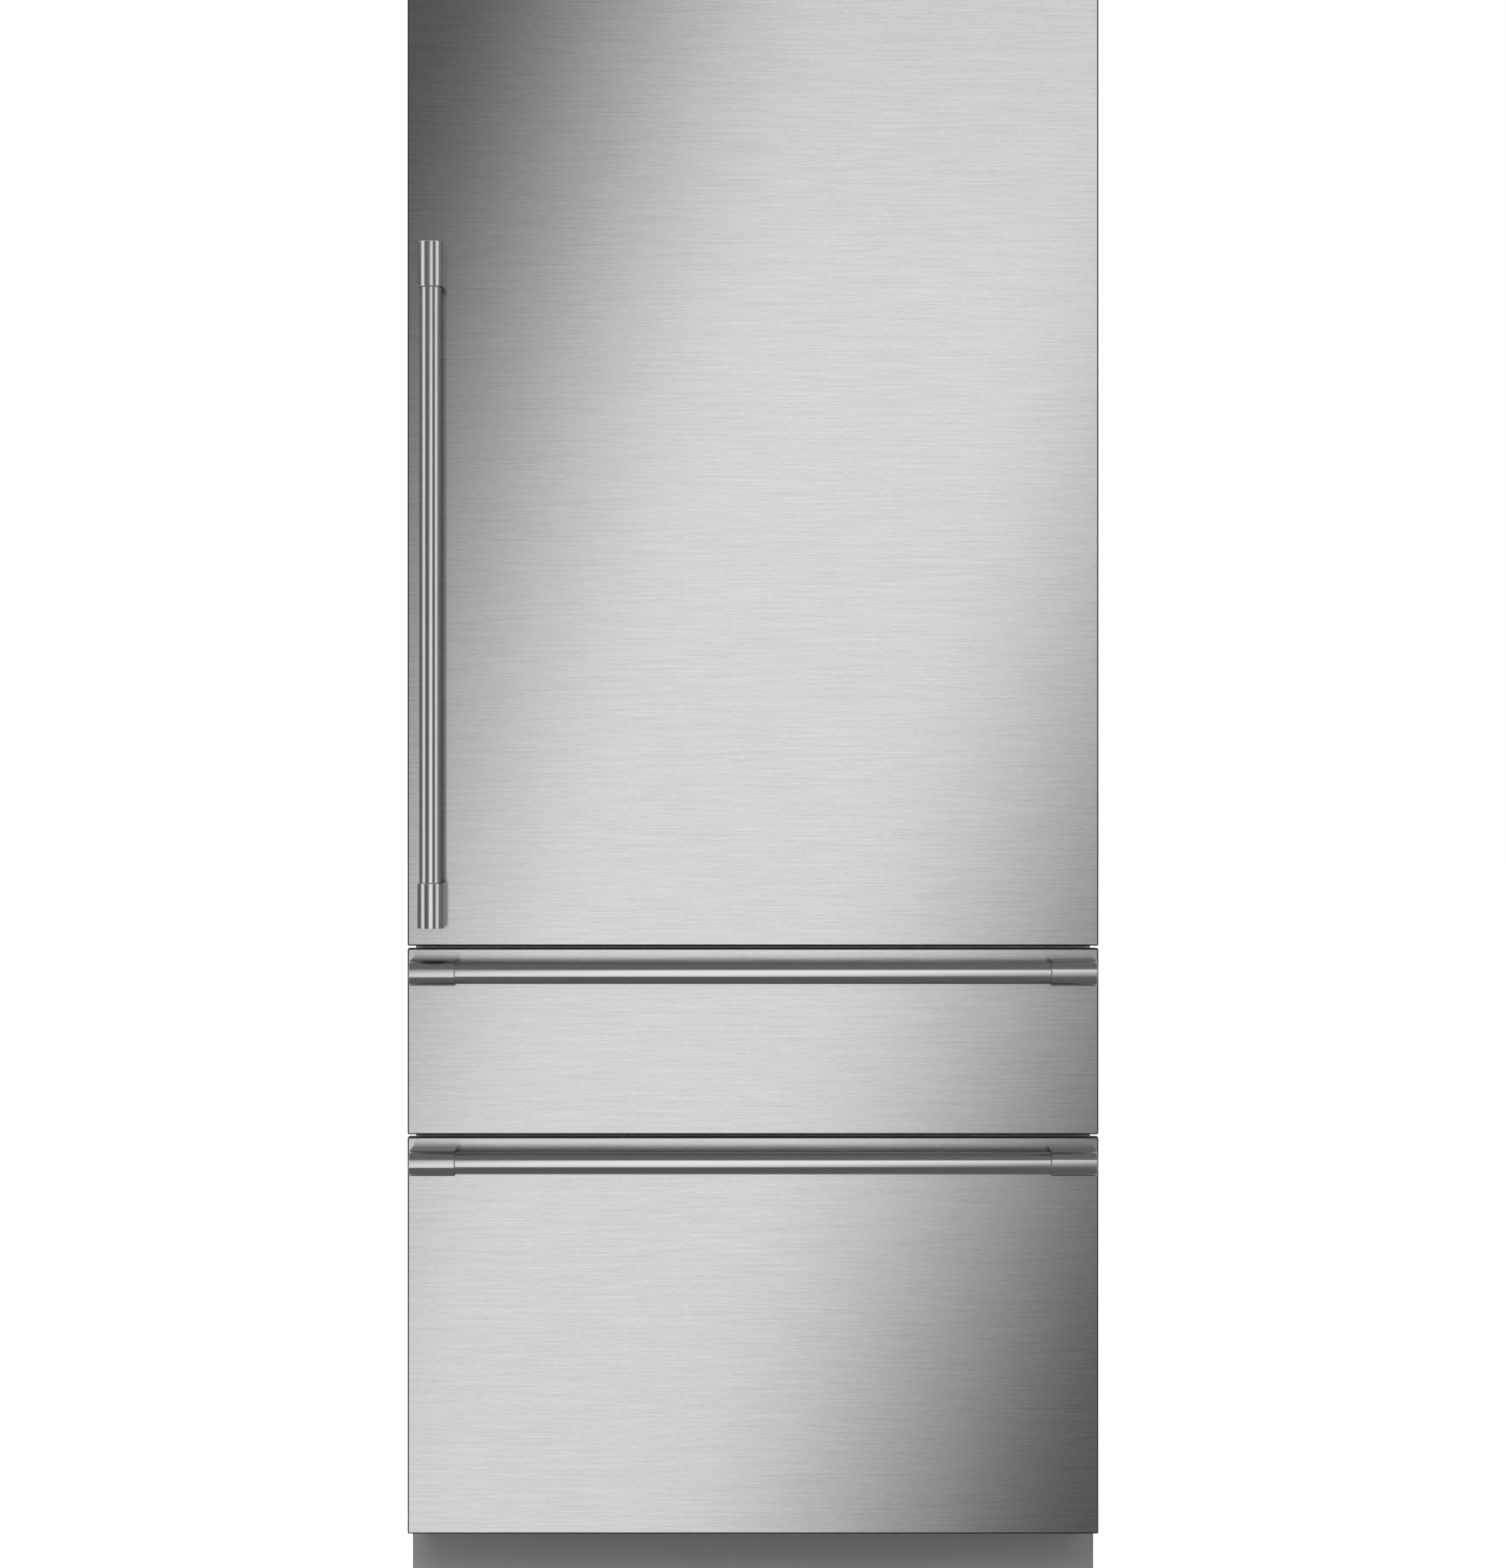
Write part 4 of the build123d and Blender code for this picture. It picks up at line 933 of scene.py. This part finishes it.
def edges_of(ring):
    """The edges that join the vertices of a ring."""
    inside = set(ring)
    return list({edge for vert in ring for edge in vert.link_edges if edge.other_vert(vert) in inside})


def bridge(shape, *rings):
    """A band of faces from each ring to the next."""
    for first, second in zip(rings, rings[1:]):
        bmesh.ops.bridge_loops(shape, edges=edges_of(first) + edges_of(second))


def close(shape, ring):
    """One face over the mouth of a ring."""
    bmesh.ops.contextual_create(shape, geom=edges_of(ring))


print("a ring has", round_steps, "vertices")

# %% [markdown]
# The bar is drawn out along its length, with a small chamfer at each end. A narrow groove round it, where
# it comes out of a block, gives the dark seam in the photograph, beside the block's bright rim; its steel
# is darkened with painted shadow as well.

# %% Draw the bar
bar_radius = 14.3 * MM
bar_chamfer = 1.0 * MM
seam_width = 1.3 * MM
seam_depth = 0.7 * MM
seam_reach = 1.1 * seam_width


def bar_shape(length, mouth):
    """The round bar, centred on the origin, with a narrow groove at the mouth of each block, darkened with
    painted shadow.
    """
    shape = bmesh.new()
    half = length / 2
    sunk = bar_radius - seam_depth
    left_half = (
        (-half, bar_radius - bar_chamfer),
        (-half + bar_chamfer, bar_radius),
        (-mouth - 2 * seam_width, bar_radius),
        (-mouth - seam_width, bar_radius),
        (-mouth - seam_width, sunk),
        (-mouth + seam_width, sunk),
        (-mouth + seam_width, bar_radius),
        (-mouth + 2 * seam_width, bar_radius),
    )
    right_half = [(-x, radius) for x, radius in reversed(left_half)]
    rings = [ring_of(shape, x, radius) for x, radius in (*left_half, *right_half)]
    bridge(shape, *rings)
    close(shape, rings[0])
    close(shape, rings[-1])
    # The groove's faces take the second finish, the steel darkened with painted shadow.
    for face in shape.faces:
        if abs(abs(face.calc_center_median().x) - mouth) < seam_reach:
            face.material_index = second_finish
    return shape


print("the bars are", round(2 * bar_radius / MM, 1), "mm thick")

# %% [markdown]
# The block is round in front and runs straight back to the panel: each of its circles has its back
# half pushed back to the panel's face. Its inner end is hollow round the bar.

# %% Draw the end block
cap_radius = 16.65 * MM
cap_length = 58.7 * MM
cap_edge = 0.25 * MM
cap_rim = 0.2 * MM
groove_radius = 15.5 * MM
groove_depth = 4 * MM
seat_radius = 0.98 * bar_radius
back_share = 0.02


def push_back(ring, radius, standoff):
    """Pushes the back half of a ring to the panel. The share keeps its side vertices in front."""
    for vert in ring:
        if vert.co.y > radius * back_share:
            vert.co.y = standoff


def end_block(handle_half, standoff):
    """The end block at +X, with a groove round the bar's mouth."""
    shape = bmesh.new()
    inner = handle_half - cap_length
    stations = (
        (inner, cap_radius - cap_rim),
        (inner + cap_rim, cap_radius),
        (inner + 2 * cap_rim, cap_radius),
        (handle_half - cap_edge * 1.5, cap_radius),
        (handle_half - cap_edge, cap_radius),
        (handle_half - cap_edge * 0.3, cap_radius - cap_edge * 0.3),
        (handle_half, cap_radius - cap_edge),
    )
    rings = []
    for x, radius in stations:
        ring = ring_of(shape, x, radius)
        push_back(ring, radius, standoff)
        rings.append(ring)
    bridge(shape, *rings)
    mouth = ring_of(shape, inner, groove_radius)
    groove = ring_of(shape, inner + groove_depth, groove_radius)
    seat = ring_of(shape, inner + groove_depth, seat_radius)
    bridge(shape, rings[0], mouth, groove, seat)
    close(shape, seat)
    close(shape, rings[-1])
    return shape


print("the end blocks are", round(cap_length / MM, 1), "mm long")

# %% [markdown]
# The second block is a turned copy of the first, and the door's handle is stood upright at the end.
# The photograph's handles are a hair shorter than the CAD's, so each end is trimmed by a millimetre,
# and the upright one hangs slightly lower.

# %% Put the handles together
handle_trim = 1.0 * MM
upright_drop = 0.8 * MM


def handle(prefix, upright):
    """A handle's bar and end blocks, in the place of its CAD nodes."""
    bar_low, bar_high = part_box(prefix + "_handle_bar")
    ends_low, ends_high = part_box(prefix + "_handle_ends")
    axis = 2 if upright else 0
    centre = (bar_low + bar_high) / 2
    if upright:
        centre.z -= upright_drop
    bar_length = bar_high[axis] - bar_low[axis] - 2 * handle_trim
    handle_half = (ends_high[axis] - ends_low[axis]) / 2 - handle_trim
    finish = "upright_bar" if upright else "stainless_bar"

    bar = bar_shape(bar_length, handle_half - cap_length)
    blocks = end_block(handle_half, ends_high.y - centre.y)
    copy = bmesh.ops.duplicate(blocks, geom=blocks.verts[:] + blocks.edges[:] + blocks.faces[:])["geom"]
    turn(blocks, only_verts(copy), 180, "Y")
    for shape, part in ((bar, "bar"), (blocks, "ends")):
        if upright:
            turn(shape, shape.verts[:], -90, "Y")
        bmesh.ops.translate(shape, vec=centre, verts=shape.verts[:])
        node = f"{prefix}_handle_{part}"
        piece = as_piece(shape, f"{prefix}_{part}", node, finish, smooth_angle=30, second="seam")
        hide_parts(node)


handle("door", upright=True)
handle("middle", upright=False)
handle("freezer", upright=False)

# %% [markdown]
# ## Seals
#
# A refrigerator seal is a soft hollow strip with a magnet in its face and bellows behind it. Its
# section repeats all the way round the opening. A curve with this section would round its corners,
# but a real seal's are mitred. So the section is a short list of steps, in shares of the strip's
# width and depth, and a rectangle of edges is extruded from step to step. Where the last step meets
# the first, the doubled corners are merged.

# %% Sweep the seals round their openings
seal_width = 12 * MM
merge_distance = 0.01 * MM
seal_section = (
    (0.00, 0.00),
    (0.00, 0.22),
    (0.16, 0.34),
    (0.03, 0.50),
    (0.03, 0.88),
    (0.12, 1.00),
    (0.42, 1.00),
    (0.50, 0.86),
    (0.58, 1.00),
    (0.88, 1.00),
    (0.97, 0.88),
    (0.97, 0.50),
    (0.84, 0.34),
    (1.00, 0.22),
    (1.00, 0.00),
)


def swept_seal(node):
    """A seal with bellows, in the place of the plain CAD ring."""
    low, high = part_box(node)
    centre = (low + high) / 2
    half = (high - low) / 2
    shape = bmesh.new()
    corners = bmesh.ops.create_circle(shape, segments=4, radius=1.0)["verts"]
    turn(shape, corners, 45, "Z")
    turn(shape, corners, 90, "X")
    bmesh.ops.translate(shape, vec=centre, verts=corners)
    ring = shape.edges[:]
    for step, (across, along) in enumerate((*seal_section, seal_section[0])):
        if step > 0:
            corners, ring = draw_out(shape, ring)
        for corner in corners:
            corner.co.x = centre.x + math.copysign(half.x - across * seal_width, corner.co.x - centre.x)
            corner.co.z = centre.z + math.copysign(half.z - across * seal_width, corner.co.z - centre.z)
            corner.co.y = low.y + along * (high.y - low.y)
    bmesh.ops.remove_doubles(shape, verts=shape.verts[:], dist=merge_distance)
    piece = as_piece(shape, node + "_strip", node, "seal", smooth_angle=40)
    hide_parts(node)


for node in ("door_gasket", "middle_gasket", "freezer_gasket"):
    swept_seal(node)

# %% [markdown]
# ## Moulded bins
#
# Door bins, crispers, the tub, the basket and the tray are all thin moulded boxes. A mould needs
# round corners, sides that lean out a little so that the part lets go, and a rolled rim that keeps
# the top edge stiff. One box cut out of another would have sharp corners and an uneven wall. So the
# box starts closed. Its top is taken off, its other edges are rounded, its foot is made smaller, its
# rim is drawn out and down, and solidify gives the wall.

# %% Mould the bins
bin_wall = 3 * MM
bin_rim = 4 * MM
bin_rim_drop = 6 * MM
bin_draft = 0.975
bin_corner = 14 * MM
tub_corner = 16 * MM
corner_steps = 6
foot_share = 1.05


def moulded_box(node, low, high, corner, bars=()):
    """An open box with round corners, leaning sides and a rolled rim."""
    inset = Vector((bin_rim, bin_rim, 0))
    shape = new_box(low + inset, high - inset)
    bmesh.ops.delete(shape, geom=facing(shape, 2, 1), context="FACES")
    rounded = [edge for edge in shape.edges if min(vert.co.z for vert in edge.verts) < high.z - corner]
    round_off(shape, rounded, corner, corner_steps)
    foot = [vert for vert in shape.verts if vert.co.z < low.z + corner * foot_share]
    about = Matrix.Translation(-(low + high) / 2)
    bmesh.ops.scale(shape, vec=(bin_draft, bin_draft, 1), space=about, verts=foot)

    size = high - low
    grow = (size.x / (size.x - 2 * bin_rim), size.y / (size.y - 2 * bin_rim), 1)
    rim, edge_of_rim = draw_out(shape, open_edges(shape.edges))
    bmesh.ops.scale(shape, vec=grow, space=about, verts=rim)
    hem = draw_out(shape, edge_of_rim)[0]
    bmesh.ops.translate(shape, vec=(0, 0, -bin_rim_drop), verts=hem)
    bmesh.ops.recalc_face_normals(shape, faces=shape.faces[:])
    bmesh.ops.solidify(shape, geom=shape.faces[:], thickness=bin_wall)
    for bar_low, bar_high in bars:
        add_box(shape, bar_low, bar_high)
    piece = as_piece(shape, node + "_moulding", node, slot_of[node])
    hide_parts(node)


for node in ("lower_bin", "middle_bin", "upper_bin"):
    moulded_box(node, *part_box(node), bin_corner)
for node in ("middle_tub", "freezer_basket"):
    moulded_box(node, *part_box(node), tub_corner)

# %% [markdown]
# The crispers and the tray hang on their side rims, which slide on rails. The rim is a flat bar
# along the outside, so those boxes are narrower than their CAD box by that bar.

# %% Mould the crispers and the tray
side_bar = 12 * MM
bar_height = 6 * MM
bar_start = 31 * MM


def hung_box(node, sides):
    """A moulded box with a flat bar outside its left rim, its right rim or both."""
    low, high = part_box(node)
    body_low = low.copy()
    body_high = high.copy()
    start = (low.y + bar_start, high.z - bar_height)
    stop = (high.y - tub_corner, high.z)
    bars = []
    if "left" in sides:
        body_low.x += side_bar
        bars.append(((low.x, *start), (body_low.x + bin_rim, *stop)))
    if "right" in sides:
        body_high.x -= side_bar
        bars.append(((body_high.x - bin_rim, *start), (high.x, *stop)))
    moulded_box(node, body_low, body_high, tub_corner, bars)


hung_box("crisper_right", ["right"])
hung_box("crisper_left", ["left"])
hung_box("freezer_tray", ["left", "right"])

# %% [markdown]
# ## Back
#
# The back is one thin galvanised sheet. A sheet that large would drum and bend, so it is pressed with
# long shallow beads. A bump in the finish would leave the mesh flat, so the sheet is cut across by
# planes at each bead, and the strip between two cuts is inset and pushed in, with sloping sides.

# %% Press beads into the rear sheet
bead_count = 6
bead_height = 26 * MM
bead_margin = 70 * MM
bead_slope = 3 * MM
bead_depth = 0.7 * MM


def cut_across(shape, axis, place):
    """Cuts the whole shape by a plane across one axis."""
    normal = [1 if i == axis else 0 for i in range(3)]
    point = [place if i == axis else 0 for i in range(3)]
    geometry = shape.verts[:] + shape.edges[:] + shape.faces[:]
    bmesh.ops.bisect_plane(shape, geom=geometry, plane_co=point, plane_no=normal)


def on_bead(face, middle, side):
    """Whether a face lies on the bead at one height, between its two ends."""
    centre = face.calc_center_median()
    return abs(centre.z - middle) < bead_height / 2 and abs(centre.x) < side


low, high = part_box("rear_panel")
shape = new_box(low, high)
for side in (low.x + bead_margin, high.x - bead_margin):
    cut_across(shape, 0, side)
pitch = (high.z - low.z) / bead_count
bead_middles = [low.z + (i + 0.5) * pitch for i in range(bead_count)]
for middle in bead_middles:
    cut_across(shape, 2, middle - bead_height / 2)
    cut_across(shape, 2, middle + bead_height / 2)
for middle in bead_middles:
    bead = [face for face in facing(shape, 1, 1) if on_bead(face, middle, high.x - bead_margin)]
    bmesh.ops.inset_region(shape, faces=bead, thickness=bead_slope, depth=-bead_depth)
piece = as_piece(shape, "rear_sheet", "rear_panel", "zinc_steel", smooth_angle=5)
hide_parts("rear_panel")

# %% [markdown]
# ## Controls
#
# The control panel is a black bar under the compartment's ceiling. Its plain face carries two touch
# sliders with round ends and a row of small round lights. They are low pads, half sunk into the bar.
# Each starts as a flat shape on the ground, and all are thickened and stood up together.

# %% Set the lights and sliders into the control bar
pad_thickness = 0.8 * MM
light_count = 5
light_radius = 1.6 * MM
light_gap = 11 * MM
light_steps = 24
slider_half = (26 * MM, 2.2 * MM)
slider_round = 0.95 * slider_half[1]
slider_place = 62 * MM

low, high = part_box("control_panel")
centre = (low + high) / 2
shape = bmesh.new()
for i in range(light_count):
    dot = bmesh.ops.create_circle(shape, cap_ends=True, segments=light_steps, radius=light_radius)["verts"]
    bmesh.ops.translate(shape, vec=((i - (light_count - 1) / 2) * light_gap, 0, 0), verts=dot)
for side in (-1, 1):
    slider = bmesh.ops.create_grid(shape, x_segments=1, y_segments=1, size=1.0)["verts"]
    bmesh.ops.scale(shape, vec=(*slider_half, 1), verts=slider)
    bmesh.ops.translate(shape, vec=(side * slider_place, 0, 0), verts=slider)
    round_off(shape, slider, slider_round, steps=6, affect="VERTICES")
drawn = bmesh.ops.extrude_face_region(shape, geom=shape.faces[:])["geom"]
bmesh.ops.translate(shape, vec=(0, 0, pad_thickness), verts=only_verts(drawn))
turn(shape, shape.verts[:], 90, "X")
face_of_bar = (centre.x, low.y + pad_thickness / 2, centre.z)
bmesh.ops.translate(shape, vec=face_of_bar, verts=shape.verts[:])
piece = as_piece(shape, "control_lights", "control_panel", "lens")
